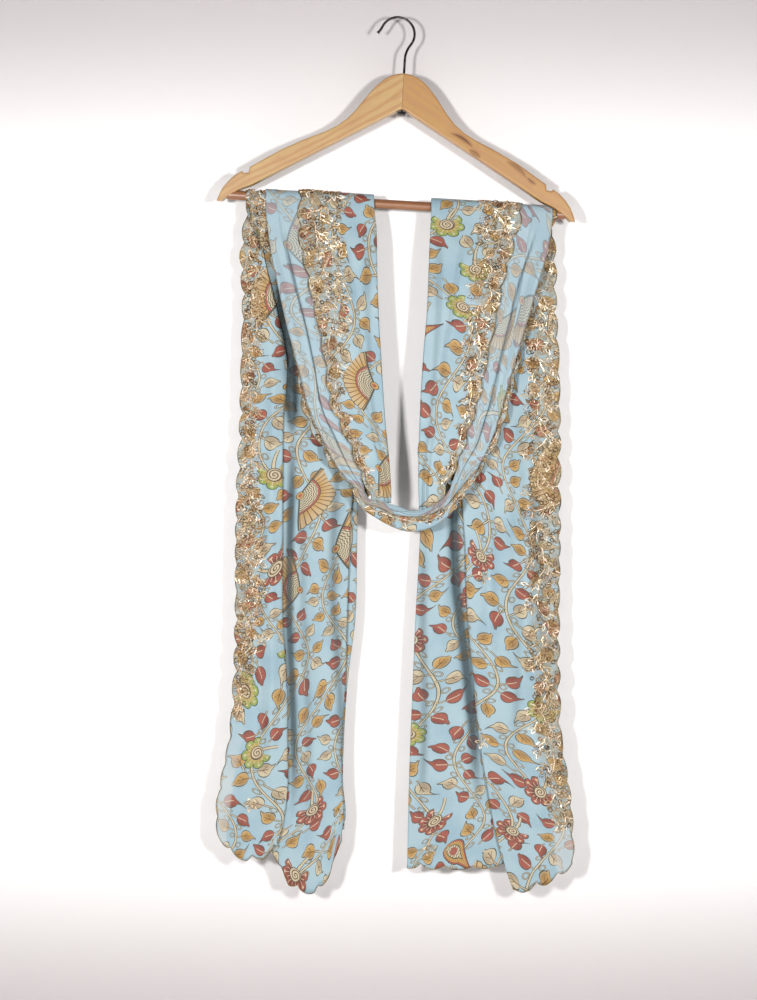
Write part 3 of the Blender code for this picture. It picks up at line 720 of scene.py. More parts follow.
def bar_drop(across):
    """How far the bar's axis lies below the hook's seat at this distance across."""
    centre_across = MITRE_TOP[0] - BAR_DROP * math.sin(TILT)
    centre_drop = MITRE_TOP[1] + BAR_DROP * math.cos(TILT)
    return centre_drop + (across - centre_across) * math.tan(TILT)


def over_bar(across, distance, angle):
    """A point this far from the bar's axis, at an angle from straight up towards the front."""
    front = distance * math.sin(angle)
    drop = bar_drop(across) - distance * math.cos(angle)
    return (across, front, drop)


def mix(a, b, share):
    return a + (b - a) * share


def half_turn(edge, outward, low, high):
    """Points round a fold whose farthest place is at edge, from one layer's depth to the next one's."""
    radius = abs(high - low) / 2
    centre = (low + high) / 2
    points = []
    for i in range(FOLD_STEPS + 1):
        angle = math.pi * i / FOLD_STEPS
        across = edge - outward * radius * (1 - math.sin(angle))
        points.append((across, centre - (high - low) / 2 * math.cos(angle)))
    return points


def layer_depth(layer, across, row):
    """How far out a layer of the tail lies from its first one. The front pleat is flat where spread is 0."""
    if layer == 0:
        return 0.0
    if layer == 1:
        return row.pitch
    beside_pleat = max(0.0, 1 - abs(across - row.pleat_in) / WEDGE)
    pleat = 2 * row.pitch * mix(beside_pleat if layer == 2 else 0.0, 1.0, row.spread)
    return pleat + (layer - 2) * row.pitch


def layer_shares(table, layer):
    """Where a layer has points between its folds: three on a wide layer, one on a narrow one."""
    widest = max(abs(row[layer + 2] - row[layer + 1]) for row in table)
    return (0.25, 0.5, 0.75) if widest > NARROW_LAYER else (0.5,)


def tail_profile(table, row):
    """(across, depth, layer, share along the layer) for each point of one section, as many in every row."""
    folds = row[1:8]
    layers = len(folds) - 1
    points = [(folds[0], layer_depth(0, folds[0], row), 0, 0.0)]
    for layer in range(layers):
        end = folds[layer + 1]
        depth = layer_depth(layer, end, row)
        turn = [(end, depth)]
        if layer + 1 < layers:
            outward = math.copysign(1, end - folds[layer])
            turn = half_turn(end, outward, depth, layer_depth(layer + 1, end, row))
        first = points[-1][0]
        for share in layer_shares(table, layer):
            across = mix(first, turn[0][0], share)
            points.append((across, layer_depth(layer, across, row), layer, share))
        points += [(across, out, layer, 1.0) for across, out in turn]
    return points


def wave(across, drop):
    """The soft billow of the hanging cloth, none at the bar and most near the hem."""
    grown = min(1.0, max(0.0, (drop - WAVE_STARTS) / (WAVE_FULL - WAVE_STARTS)))
    turn = 2 * math.pi * across / WAVE_LENGTH + drop / WAVE_SLANT
    return WAVE_DEPTH * grown * (1 - math.cos(turn)) / 2


def hem_drop(hem, layer, share):
    """The hem's height along a layer, a smooth curve through its start, middle and end."""
    row = hem[layer]
    if row.tucked and share < 0.5:
        return mix(row.start, row.middle, (2 * share) ** 2)
    bow = row.middle - (row.start + row.end) / 2
    return mix(row.start, row.end, share) + bow * 4 * share * (1 - share)


def tail_sections(table, hem):
    """The sections of a tail: two round the back of the bar, then one for each row down to the hem."""
    sections = []
    top = table[0]
    start = REAR_SEAM
    for angle in (start, (start - math.pi / 2) / 2, -math.pi / 2):
        sections.append([
            over_bar(across, INNER_LAYER + depth, angle)
            for across, depth, _, _ in tail_profile(table, top)
        ])
    for row in table[1:]:
        section = []
        for across, depth, layer, share in tail_profile(table, row):
            drop = row.drop
            if drop > HEM_RISE_STARTS:
                rise = 0.5 if row is table[-2] else 1.0
                drop = mix(HEM_RISE_STARTS, hem_drop(hem, layer, share), rise)
            away = INNER_LAYER + TAIL_CLEARANCE + depth + wave(across, drop)
            section.append((across, -away, drop))
        sections.append(section)
    return sections


def smooth_rows(sections, spacing):
    """Rows about this far apart, on smooth curves through the matching points of the sections."""
    places = np.array(sections, dtype=float)
    steps = np.linalg.norm(np.diff(places, axis=0), axis=2).mean(axis=1)
    slopes = np.gradient(places, np.concatenate([[0.0], np.cumsum(steps)]), axis=0)
    rows = [places[:1]]
    for i, step in enumerate(steps):
        count = max(1, round(step / spacing))
        t = (np.arange(1, count + 1) / count)[:, None, None]
        before = places[i] * (1 + 2 * t) * (1 - t) ** 2 + slopes[i] * step * t * (1 - t) ** 2
        after = places[i + 1] * t * t * (3 - 2 * t) + slopes[i + 1] * step * t * t * (t - 1)
        rows.append(before + after)
    return np.concatenate(rows)


def split_columns(places, spacing):
    """The same cloth with more columns, so that none are further apart than this."""
    gaps = np.linalg.norm(np.diff(places, axis=1), axis=2).max(axis=0)
    columns = [places[:, :1]]
    for j, gap in enumerate(gaps):
        count = max(1, math.ceil(gap / spacing))
        t = (np.arange(1, count + 1) / count)[None, :, None]
        columns.append(places[:, j:j + 1] * (1 - t) + places[:, j + 1:j + 2] * t)
    return np.concatenate(columns, axis=1)


def lengths_along(places, axis):
    """How far each point lies along the cloth from its first row (axis 0) or first column (axis 1), in mm."""
    steps = np.linalg.norm(np.diff(places, axis=axis), axis=2)
    first = np.zeros_like(steps[:1] if axis == 0 else steps[:, :1])
    return np.concatenate([first, np.cumsum(steps, axis=axis)], axis=axis)


def fine_cloth(sections, row_spacing, column_spacing):
    places = split_columns(smooth_rows(sections, row_spacing), column_spacing)
    return Cloth(places, lengths_along(places, 1), lengths_along(places, 0))


def ramp(value, start, end):
    t = np.clip((value - start) / (end - start), 0, 1)
    return t * t * (3 - 2 * t)


def pile_shares(front):
    """How far each point lies through the pile of layers, from the rear one and from the front one."""
    rear, nearest = front.min(axis=1, keepdims=True), front.max(axis=1, keepdims=True)
    depth = np.maximum(nearest - rear, THINNEST_PILE)
    return (front - rear) / depth, (nearest - front) / depth


def creased(cloth, creases):
    """Pushes the hanging cloth in and out along its creases, the rear layers less than the front ones. It
    also gives each point's painted shade, from 0 to 1, deepest in the troughs and none on the rear layers."""
    across, front, drop = cloth.places[..., 0], cloth.places[..., 1], cloth.places[..., 2]
    forward, _ = pile_shares(front)
    push, hollow = np.zeros_like(across), np.zeros_like(across)
    for crease in creases:
        acrosses, drops = zip(*crease.path)
        middle = np.interp(drop, drops, acrosses) + 2.5 * np.sin(drop / 61 + crease.width)
        share = (drop - drops[0]) / (drops[-1] - drops[0])
        reach = ramp(share, 0, 0.25) * (1 - ramp(share, 0.75, 1))
        here = np.exp(-(((across - middle) / crease.width) ** 2)) * reach
        push += crease.depth * here
        hollow += max(-crease.depth, 0) / DARKEST_CREASE * here
    hollow *= ramp(forward, 0.2, 0.4) * (1 - 0.6 * ramp(forward, 0.75, 0.95))
    moved = cloth.places.copy()
    moved[..., 1] += forward * push
    return cloth._replace(places=moved), np.clip(hollow, 0, 1)


def from_edge(cloth, edge):
    """How far each point lies in from a long edge: 0 is the first column and -1 the last."""
    return cloth.across if edge == 0 else cloth.across[:, -1:] - cloth.across


def scallop(length, pitch, depth):
    """The scalloped cut of an edge, a little uneven: how far it stands out at this length along it."""
    stretched = length + 8 * np.sin(length / 67) + 3 * np.sin(length / 23 + 1)
    size = depth * (0.75 + 0.25 * np.sin(length / 41))
    return size * (np.abs(np.sin(np.pi * stretched / pitch)) ** 0.7 - 0.64)


def scalloped(cloth, edge):
    """Cuts a long edge in scallops."""
    third = 2 if edge == 0 else -3
    inwards = cloth.places[:, third] - cloth.places[:, edge]
    inwards /= np.maximum(np.linalg.norm(inwards, axis=1, keepdims=True), 1e-6)
    fade = np.clip(1 - from_edge(cloth, edge) / SCALLOP_FADE, 0, 1)
    out = scallop(cloth.down[:, edge], SCALLOP_PITCH, SCALLOP_DEPTH)[:, None] * fade
    return cloth._replace(places=cloth.places - inwards[:, None, :] * out[..., None])


def scalloped_hem(cloth, shifts):
    """Cuts the hem in scallops, lets the rear layers end a little higher and shifts the pleat behind the
    front fold by a table of places across."""
    _, behind = pile_shares(cloth.places[..., 1])
    from_hem = cloth.down[-1:] - cloth.down
    out = scallop(cloth.across, HEM_SCALLOP_PITCH, HEM_SCALLOP_DEPTH)
    out = (out - REAR_HEM_RISE * ramp(behind, 0.485, 0.56)) * np.clip(1 - from_hem / SCALLOP_FADE, 0, 1)
    shift = np.interp(cloth.places[..., 0], *zip(*shifts)) * ramp(behind, 0.2, 0.3)
    moved = cloth.places.copy()
    moved[..., 2] += out + shift * (1 - ramp(from_hem, 0, HEM_STRETCH))
    return cloth._replace(places=moved)


def in_room(places):
    """From (across, front, drop) in millimetres to the room's x, y and z, still in millimetres."""
    return places * np.array([1, -1, -1])


def add_part(name, mesh, finishes):
    for finish in finishes:
        mesh.materials.append(finish)
    part = placed(name, mesh)
    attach(part, "root")
    return part


def carry(mesh, label, numbers):
    """Lets the mesh's points carry a number each, for its material."""
    mesh.attributes.new(label, "FLOAT", "POINT").data.foreach_set("value", numbers.ravel())


def cloth_piece(name, cloth, face_first, print_start, **carried_numbers):
    """A sheet of chiffon. face_first says which side the print's face is on, print_start is the corner's
    place in the print, and the numbers are what the material reads at each point: border is the distance from
    the embroidered edge for a border of full width, hollow the painted shade in creases and folds, and
    thin how sheer."""
    rows, columns = cloth.across.shape
    index = np.arange(rows * columns).reshape(rows, columns)
    quads = np.stack([index[:-1, :-1], index[1:, :-1], index[1:, 1:], index[:-1, 1:]], axis=-1).reshape(-1, 4)
    mesh = bpy.data.meshes.new(name)
    mesh.from_pydata((in_room(cloth.places) * MM).reshape(-1, 3).tolist(), [], quads.tolist())
    flat = np.stack([cloth.across + print_start[0], cloth.down + print_start[1]], axis=-1).reshape(-1, 2) * MM
    mesh.uv_layers.new(name="cloth").data.foreach_set("uv", flat[quads.ravel()].ravel())
    for label, numbers in carried_numbers.items():
        carry(mesh, label, numbers)
    mesh.shade_smooth()
    sides = [face_chiffon, reverse_chiffon] if face_first else [reverse_chiffon, face_chiffon]
    part = add_part(name, mesh, sides)
    thickness = part.modifiers.new("thickness", "SOLIDIFY")
    thickness.thickness = CLOTH_THICK * MM
    thickness.offset = 0
    thickness.material_offset = 1
    return part


def border_distance(cloth, edge, down, widths):
    """Distances from an edge, stretched where the border is narrow so that its full width means the same."""
    width = np.interp(down, *zip(*widths))
    return np.where(width > 1, from_edge(cloth, edge) * BORDER_WIDTH / np.maximum(width, 1), NO_BORDER)


tail_cloths, tails = {}, {}
for side, table, hem in (("left", LEFT_TAIL, LEFT_HEM), ("right", RIGHT_TAIL, RIGHT_HEM)):
    cloth, hollow = creased(fine_cloth(tail_sections(table, hem), ROW_SPACING, COLUMN_SPACING), TAIL_CREASES)
    cloth = scalloped_hem(scalloped(scalloped(cloth, 0), -1), HEM_SHIFTS[side])
    drop, corner = cloth.places[..., 2], SHEER_CORNERS[side]
    front = border_distance(cloth, 0, drop, FRONT_BORDER[side])
    back = border_distance(cloth, -1, drop, BACK_BORDER)
    thin = 1 - ramp(cloth.across, corner.full_to, corner.none_from)
    thin *= ramp(drop, corner.begins, corner.full_from)
    tails[side] = cloth_piece(
        "chiffon_tail_" + side, cloth, side == "left", PRINT_STARTS[side],
        border=np.minimum(front, back), hollow=hollow, thin=thin,
    )
    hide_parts("tail_" + side)
    tail_cloths[side] = cloth


# ---------------------------------------------------------------- the swag
# The middle of the stole, brought over the bar to the front on both sides and hung in a loop. It is folded
# lengthwise: a hidden back layer, and on it a band with its reverse out that has one sharp pleat. At the
# bottom the embroidered long edge is rolled up over the band.

# A row for each station along the swag, from the left group on the bar to the right one. Each place is
# (across, drop). outer is the fold at the outside or bottom, pleat the step between the two strips, lap the
# flap's free edge (the strip's top edge at the bottom of the swag) and inner the flap's fold.
# The sizes after them: how far the band runs on under the flap, how far the back layer peeks out past the
# outer fold, the pitch of the layers, the step at the pleat, and how far the band bellies forward.
SwagRow = namedtuple("SwagRow", "outer pleat lap inner under peek pitch step belly")
OVER_BAR_ANGLES = [math.radians(angle) for angle in (-50, -22, 6, 34, 62, 90)]
BAR_LEFT = SwagRow((-161, 0), (-146, 0), (-119, 0), (-29, 0), 9, 22, 1.4, 0.5, 0)
LEFT_ARM = [
    SwagRow((-157, 264), (-141, 264), (-119, 261), (-26, 258), 12, 12, 2.2, 1.4, 0),
    SwagRow((-147, 319), (-128, 319), (-109, 317), (-25, 313), 12, -2, 3.0, 2.0, 0),
    SwagRow((-135, 374), (-113, 374), (-97, 370), (-23, 368), 12, -2, 3.5, 2.2, 0),
    SwagRow((-120, 429), (-102, 425), (-87, 423), (-20, 419), 10, 2, 3.5, 2.2, 0),
    SwagRow((-107, 478), (-91, 477), (-79, 475), (-17, 468), 8, 7, 3.5, 2.0, 0),
    SwagRow((-91, 514), (-78, 511), (-64, 507), (-14, 505), 6, 6, 3.5, 1.8, 0),
    SwagRow((-72, 549), (-61, 544), (-50, 540), (-11, 534), 3, 3, 3.5, 1.5, 0),
    SwagRow((-53, 572), (-47, 569), (-41, 567), (-9, 561), -0.8, 1, 3.2, 1.0, 1),
]
BOTTOM = [
    SwagRow((-39, 596), (-37, 591), (-36, 585), None, 0, 1, 3.0, 0.8, 5),
    SwagRow((-24, 602), (-23, 596), (-22, 589), None, 0, 5, 3.0, 0.8, 8),
    SwagRow((-6, 611), (-5, 602), (-3, 594), None, 0, 6, 3.0, 0.8, 9),
    SwagRow((16, 615), (17, 608), (17, 601), None, 0, 8, 3.0, 0.8, 9),
    SwagRow((41, 611), (39, 605), (37, 597), None, 0, 6, 3.0, 0.8, 9),
    SwagRow((60, 600), (56, 594), (53, 587), None, 0, 3, 3.0, 0.8, 8),
    SwagRow((76, 579), (70, 575), (64, 572), None, 0, 1, 3.0, 0.8, 5),
]
RIGHT_ARM = [
    SwagRow((91, 558), (81, 551), (72, 544), (25, 540), -0.8, 3, 3.2, 1.0, 1),
    SwagRow((107, 529), (94, 519), (83, 509), (26, 505), 3, 6, 3.5, 1.5, 0),
    SwagRow((119, 500), (104, 492), (91, 485), (27, 478), 6, 7, 3.5, 1.8, 0),
    SwagRow((128, 468), (116, 466), (98, 461), (28, 456), 8, 7, 3.5, 2.0, 0),
    SwagRow((142, 420), (126, 417), (108, 413), (31, 411), 10, 5, 3.5, 2.2, 0),
    SwagRow((157, 370), (141, 369), (119, 366), (35, 363), 12, 2, 3.5, 2.2, 0),
    SwagRow((170, 325), (150, 323), (128, 319), (37, 317), 12, 0, 3.0, 2.0, 0),
    SwagRow((184, 274), (158, 272), (142, 270), (39, 268), 10, 0, 2.2, 1.4, 0),
]
BAR_RIGHT = SwagRow((181, 0), (162, 0), (150, 0), (41, 0), 8, 4, 1.4, 0.5, 0)
BAR_RIGHT_FRONT = SwagRow((188, 0), (163, 0), (150, 0), (41, 0), 8, 4, 1.4, 0.5, 0)
# The flaps' ends, tucked in behind the band: the free edge and the fold, with the pitch of their layers.
FlapEnd = namedtuple("FlapEnd", "lap inner pitch")
LEFT_FLAP_END = [FlapEnd((-33, 584), (-8, 580), 2.6), FlapEnd((-28, 594), (-8, 591), 1.8)]
RIGHT_FLAP_END = [FlapEnd((60, 568), (25, 569), 2.8), FlapEnd((54, 592), (26, 606), 2.0)]
# The long edge rolled up over the bottom: how far it hangs below the outer fold and how far it laps up.
RollRow = namedtuple("RollRow", "below lap")
ROLL = [
    RollRow(2.2, 2), RollRow(4, 3), RollRow(8, 5), RollRow(9, 6), RollRow(11, 7), RollRow(9, 6),
    RollRow(6, 5), RollRow(4, 3), RollRow(5, 2),
]
SWAG_CLEARANCE = 0.6
STEP_HALF_WIDTH = 0.8
BAND_SETBACK = 3.0
BACK_SETBACK = 1.5
FRONT_OF_BAR = math.radians(60)
ROLL_STEPS = 6
LEAST_LAP = 0.3
ROLL_START_GAP = 0.9
ROLL_LIFT = 1.3

# Long folds that run the length of the swag's pieces: the share of the width that each lies at, how far it
# wanders to either side, how wide its furrow is where the cloth is widest, and the painted shade in it, 0 to
# 1.
# Between two folds the cloth stands out in a soft ridge.
LongFold = namedtuple("LongFold", "share wander width dark")
BAND_FOLDS = [
    LongFold(0.2, 0.03, 2.6, 0.4), LongFold(0.42, 0.05, 2.4, 0.4), LongFold(0.63, 0.04, 3.0, 0.4),
    LongFold(0.745, 0.008, 3.4, 0.2), LongFold(0.833, 0.003, 1.8, 0.75),
]
FLAP_FOLDS = [
    LongFold(0.16, 0.04, 4.0, 0.4), LongFold(0.38, 0.05, 3.0, 0.4), LongFold(0.57, 0.03, 5.0, 0.3),
    LongFold(0.67, 0.03, 3.4, 0.22),
]
BAND_RIDGE = 2.2
FLAP_RIDGE = 2.6
SWAG_SPACINGS = (3.5, 2.4)
HANGS_FREE = (240, 300)
EDGE_BORDER = 5.0
TURNUP_BORDER = [(-400, 9), (1400, 9)]


def swag_stations():
    """(row, angle over the bar or None) for every station from the left seam to the right one."""
    left = [(BAR_LEFT, angle) for angle in OVER_BAR_ANGLES]
    right = [
        (BAR_RIGHT if angle < FRONT_OF_BAR else BAR_RIGHT_FRONT, angle)
        for angle in reversed(OVER_BAR_ANGLES)
    ]
    hanging = [(row, None) for row in LEFT_ARM + BOTTOM + RIGHT_ARM]
    return left + hanging + right


def along_row(row, distance):
    """The place (across, drop) this far inwards from the outer fold, along pleat, lap and inner."""
    stops = [Vector(row.outer), Vector(row.pleat), Vector(row.lap)]
    if row.inner:
        stops.append(Vector(row.inner))
    for a, b in zip(stops, stops[1:]):
        length = (b - a).length
        if distance <= length or b is stops[-1]:
            return a + (b - a) * (distance / length)
        distance -= length
    return stops[-1]


def distance_in(row, name):
    """The distance inwards from the outer fold to pleat, lap or inner."""
    stops = ["outer", "pleat", "lap", "inner"]
    places = [Vector(getattr(row, stop)) for stop in stops[: stops.index(name) + 1]]
    return sum((b - a).length for a, b in zip(places, places[1:]))


def width_of(row):
    """The whole width of the swag at this station, from its outer fold to the flap's fold or the top edge."""
    return distance_in(row, "inner" if row.inner else "lap")


def swag_point(row, angle, distance, depth):
    """A point of the swag, this far in from its outer fold and this deep out from its back layer."""
    across, drop = along_row(row, distance)
    if angle is not None:
        return over_bar(across, INNER_LAYER + depth, angle)
    return (across, INNER_LAYER + SWAG_CLEARANCE + depth, drop)


def band_profile(row):
    """(distance in, depth): the layer behind, the outer fold, the raised strip, the step, the inner strip."""
    behind = row.belly + row.pitch
    front = row.belly + 2 * row.pitch
    raised = front + row.step
    pleat = distance_in(row, "pleat")
    lap = distance_in(row, "lap")
    inner_end = width_of(row) - BAND_SETBACK if row.under > 0 else lap - BAND_SETBACK - 4 * row.under
    end = lap + row.under
    turn = half_turn(0, -1, behind, raised)
    points = [(inner_end, behind), (mix(inner_end, turn[0][0], 0.5), behind)]
    points += turn
    points.append((mix(turn[-1][0], pleat, 0.5), raised))
    points += [
        (pleat - STEP_HALF_WIDTH, raised), (pleat, (raised + front) / 2), (pleat + STEP_HALF_WIDTH, front),
    ]
    points += [(mix(pleat, end, 0.5), front), (end, front)]
    return points


def back_profile(row):
    """(distance in, depth) of the swag's back layer, from its long edge to its inner side."""
    start, end = -row.peek, width_of(row) - BACK_SETBACK
    return [(mix(start, end, share), 0.0) for share in (0, 0.3, 0.6, 1)]


def roll_sections(rows):
    """The long edge rolled up: from behind the band round the bottom and up over its front."""
    sections = []
    for row, roll in zip(rows, ROLL):
        rear, front = 0.0, row.belly + 2 * row.pitch + row.step + ROLL_LIFT
        middle, half = (rear + front) / 2, (front - rear) / 2
        start = -row.peek - ROLL_START_GAP
        points = []
        for i in range(ROLL_STEPS + 1):
            angle = math.pi * i / ROLL_STEPS
            points.append((start - (roll.below + start) * math.sin(angle), middle - half * math.cos(angle)))
        points += [(mix(start, roll.lap, 0.5), front), (roll.lap, front)]
        sections.append([swag_point(row, None, distance, depth) for distance, depth in points])
    return sections


def folded_long(cloth, folds, ridge, lift):
    """Raises the cloth between its long folds by up to ridge, and all of it by lift, where it hangs free in
    front of the bar. It also gives the painted shade in each fold's furrow, from 0 to 1."""
    width = cloth.across[:, -1:]
    share = cloth.across / width
    rise = ramp(share, 0, 0.14) * (1 - ramp(share, 0.86, 1))
    hollow = np.zeros_like(rise)
    for fold in folds:
        middle = fold.share + fold.wander * np.sin(cloth.down / 83 + fold.share * 40)
        furrow = np.exp(-(((share - middle) * width.max() / fold.width) ** 2))
        rise *= 1 - furrow
        hollow = np.maximum(hollow, furrow * fold.dark)
    free = ramp(cloth.places[..., 2], *HANGS_FREE) * (cloth.places[..., 1] > 0)
    moved = cloth.places.copy()
    moved[..., 1] += (rise * ridge * (0.75 + 0.25 * np.sin(cloth.down / 57)) + lift) * free
    return cloth._replace(places=moved), hollow * free


def stations_of(profile):
    return [
        [swag_point(row, angle, distance, depth) for distance, depth in profile(row)]
        for row, angle in swag_stations()
    ]


back_stations = stations_of(back_profile)
edge_lengths = lengths_along(np.array(back_stations)[:, :1], 0)[:, 0]
edge_widths = [
    (length, max(row.peek + EDGE_BORDER, 0.0)) for length, (row, _) in zip(edge_lengths, swag_stations())
]
back_cloth = scalloped(fine_cloth(back_stations, *SWAG_SPACINGS), 0)
swag_back = cloth_piece(
    "chiffon_swag_back", back_cloth, True, (320, 40),
    border=border_distance(back_cloth, 0, back_cloth.down, edge_widths),
)
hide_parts("swag_back")

band_cloth, hollow = folded_long(
    fine_cloth(stations_of(band_profile), *SWAG_SPACINGS), BAND_FOLDS, BAND_RIDGE, 0,
)
swag_band = cloth_piece(
    "chiffon_swag_band", band_cloth, False, (530, 330),
    border=np.full_like(hollow, NO_BORDER), hollow=hollow,
)
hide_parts("swag_band")

roll_cloth = fine_cloth(roll_sections([LEFT_ARM[-1], *BOTTOM, RIGHT_ARM[0]]), *SWAG_SPACINGS)
roll_cloth.places[..., 1] += BAND_RIDGE
swag_turnup = cloth_piece(
    "chiffon_swag_turnup", roll_cloth, True, (100, 640),
    border=border_distance(roll_cloth, -1, roll_cloth.down, TURNUP_BORDER),
)
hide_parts("swag_turnup")


# ---------------------------------------------------------------- the flaps
# The inner part of the swag on each side, folded back over the band so that its face shows, with its
# embroidered long edge lying on the band. Each ends tucked in behind the bottom of the swag.

FLAP_BORDER = {
    "left": [(0, 56), (90, 52), (160, 40), (230, 22), (290, 13), (420, 12)],
    "right": [(0, 52), (90, 40), (180, 34), (250, 20), (300, 12), (420, 12)],
}
FLAP_PRINT_STARTS = {"left": (60, 500), "right": (760, 210)}
FLAP_ENDS = {"left": LEFT_FLAP_END, "right": RIGHT_FLAP_END}
FLAP_STATIONS = len(OVER_BAR_ANGLES) + len(LEFT_ARM)


def flap_profile(row):
    """(distance in, depth): from the seam with the band out to the flap's fold and back to its free edge."""
    lap = distance_in(row, "lap")
    start = lap + max(row.under, LEAST_LAP)
    low, high = 2 * row.pitch, 3 * row.pitch
    turn = half_turn(width_of(row), 1, low, high)
    points = [(start, low), (mix(start, turn[0][0], 0.5), low)] + turn
    free = lap - min(row.under, 0)
    points += [(mix(turn[-1][0], free, share), high) for share in (0.3, 0.6, 0.8, 1)]
    return points


def flap_sections(stations, ends):
    """The flap's sections, down its arm of the swag and on to its tucked-in end."""
    sections = []
    for row, angle in stations:
        sections.append([swag_point(row, angle, distance, depth) for distance, depth in flap_profile(row)])
    for end in ends:
        edge, fold = Vector(end.lap), Vector(end.inner)
        row = SwagRow(edge, mix(edge, fold, 0.01), mix(edge, fold, 0.02), fold, 0.3, 0, end.pitch, 0, 0)
        sections.append([swag_point(row, None, distance, depth) for distance, depth in flap_profile(row)])
    return sections


flap_cloths, flaps = {}, {}
for side, stations in (("left", swag_stations()), ("right", swag_stations()[::-1])):
    sections = flap_sections(stations[:FLAP_STATIONS], FLAP_ENDS[side])
    cloth, hollow = folded_long(fine_cloth(sections, *SWAG_SPACINGS), FLAP_FOLDS, FLAP_RIDGE, BAND_RIDGE)
    cloth = scalloped(cloth, -1)
    flaps[side] = cloth_piece(
        "chiffon_flap_" + side, cloth, side == "right", FLAP_PRINT_STARTS[side],
        border=border_distance(cloth, -1, cloth.down, FLAP_BORDER[side]), hollow=hollow,
    )
    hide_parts("flap_" + side)
    flap_cloths[side] = cloth


# ---------------------------------------------------------------- the gold embroidery
# Short glass tubes and round beads sewn on with gold thread, in sprays of leaves along a wavy stem with
# bunches of round beads, among small rings of beads. It runs along both long edges of the cloth, on the face.

TUBE_RADIUS = 0.54
TUBE_SIDES = 5
ROUND_RADIUS = 0.8
THREAD_RADIUS = 0.6
STEM_WAVE = 78.0
STEM_SWING = 0.18
STEM_BEAD = 3.2
SPRAY_EVERY = 9.0
MOST_LEAVES = 5
LEAF_STEP = 5.6
TIP_LEAF = 9.5
BUNCH_EVERY = 27.0
BUNCH_REACH = 7.2
BUNCH_SIZE = 26
SEED_TURN = 2.4
LOOP_RADIUS = 2.5
LOOP_BEADS = 8
STRIP_REACH = 70
STRIP_COLUMNS = 60
PATCH_HALF_WIDTH = 16.0
PATCH_TOP = 18.0
# How many small rings there are to RING_ROOM square millimetres of each border.
RING_ROOM = 9
TAIL_FILL = {"left": 0.26, "right": 0.12}
BACK_FILL = 0.08
SWAG_FILL = 0.2
FLAP_FILL = 0.13
ROUND_BAR = 12
# The lone flowers of beads on the field, by their places (across, drop).
SPRIGS = {"left": [(-165, 758), (-180, 961)], "right": [(105, 682), (40, 1017), (104, 884)]}
# Where a bead is along and in from the edge, its bearing, its length (nought for a round bead) and its tone
# and painted glint.
Bead = namedtuple("Bead", "along inwards bearing length tone")


def bead_finish(name, ramp_colours, roughness):
    """Glass beads or thread, each of its own tone, painted glint and painted shade by a number that its
    points carry.
    """
    made, tree, shader = new_material(name, ramp_colours[-1][1], roughness, 0.2)
    stops = new_node("ValToRGB", carried(tree, "tone"))
    ends = stops.color_ramp.elements
    ends[0].position, ends[0].color = ramp_colours[0]
    ends[1].position, ends[1].color = ramp_colours[-1]
    for position, colour in ramp_colours[1:-1]:
        ends.new(position).color = colour
    feed(shader.inputs["Base Color"], Term(stops.outputs[0]))
    feed(shader.inputs["Roughness"], mottled(own_place(tree), 900, 2) * 0.3 + (roughness - 0.15))
    return made


# The beads' ramps run from a dark painted shade through their gold to a pale painted glint.
gold_beads = bead_finish("champagne_gold_beads", [
    (0.0, dye(50, 42, 27)), (0.3, dye(104, 87, 56)), (0.55, dye(154, 131, 93)), (0.8, dye(196, 175, 143)),
    (1.0, dye(246, 230, 210)),
], 0.3)
copper_beads = bead_finish("copper_gold_beads", [
    (0.0, dye(84, 56, 36)), (0.4, dye(166, 112, 68)), (0.8, dye(204, 152, 104)), (1.0, dye(238, 208, 174)),
], 0.3)
gold_thread = bead_finish("gold_thread", [
    (0.0, dye(64, 56, 36)), (0.5, dye(118, 98, 62)), (1.0, dye(176, 152, 108)),
], 0.5)


def tube_form():
    """A short tube, one long and one in radius, along x."""
    turns = np.arange(TUBE_SIDES) * 2 * np.pi / TUBE_SIDES
    ring = np.stack([np.zeros(TUBE_SIDES), np.cos(turns), np.sin(turns)], axis=1)
    points = np.concatenate([ring + [-0.5, 0, 0], ring + [0.5, 0, 0]])
    near_end = list(range(TUBE_SIDES))
    after = near_end[1:] + near_end[:1]
    sides = [(i, j, TUBE_SIDES + j, TUBE_SIDES + i) for i, j in zip(near_end, after)]
    return points, sides + [near_end[::-1], [TUBE_SIDES + i for i in near_end]]


def round_form():
    """A small bead with eight sides."""
    points = np.array([(1, 0, 0), (-1, 0, 0), (0, 1, 0), (0, -1, 0), (0, 0, 1), (0, 0, -1)], dtype=float)
    faces = [(0, 2, 4), (2, 1, 4), (1, 3, 4), (3, 0, 4), (2, 0, 5), (1, 2, 5), (3, 1, 5), (0, 3, 5)]
    return points, faces


def leaf_of_beads(beads, along, inwards, bearing, length, tone):
    """A pointed oval leaf outlined by four tubes, its far half the brighter."""
    cosine, sine = math.cos(bearing), math.sin(bearing)
    for side in (-1, 1):
        for ahead, lean, shade in ((0.27, 0.4, 0.8), (0.77, -0.4, 1.0)):
            beads.append(Bead(
                along + length * (cosine * ahead - sine * side * 0.13),
                inwards + length * (sine * ahead + cosine * side * 0.13),
                bearing + side * lean, length * 0.56, tone * shade,
            ))


def leaf_tone_and_glint(luck):
    return luck.uniform(0.74, 1.0) if luck.uniform() < 0.6 else luck.uniform(0.4, 0.62)


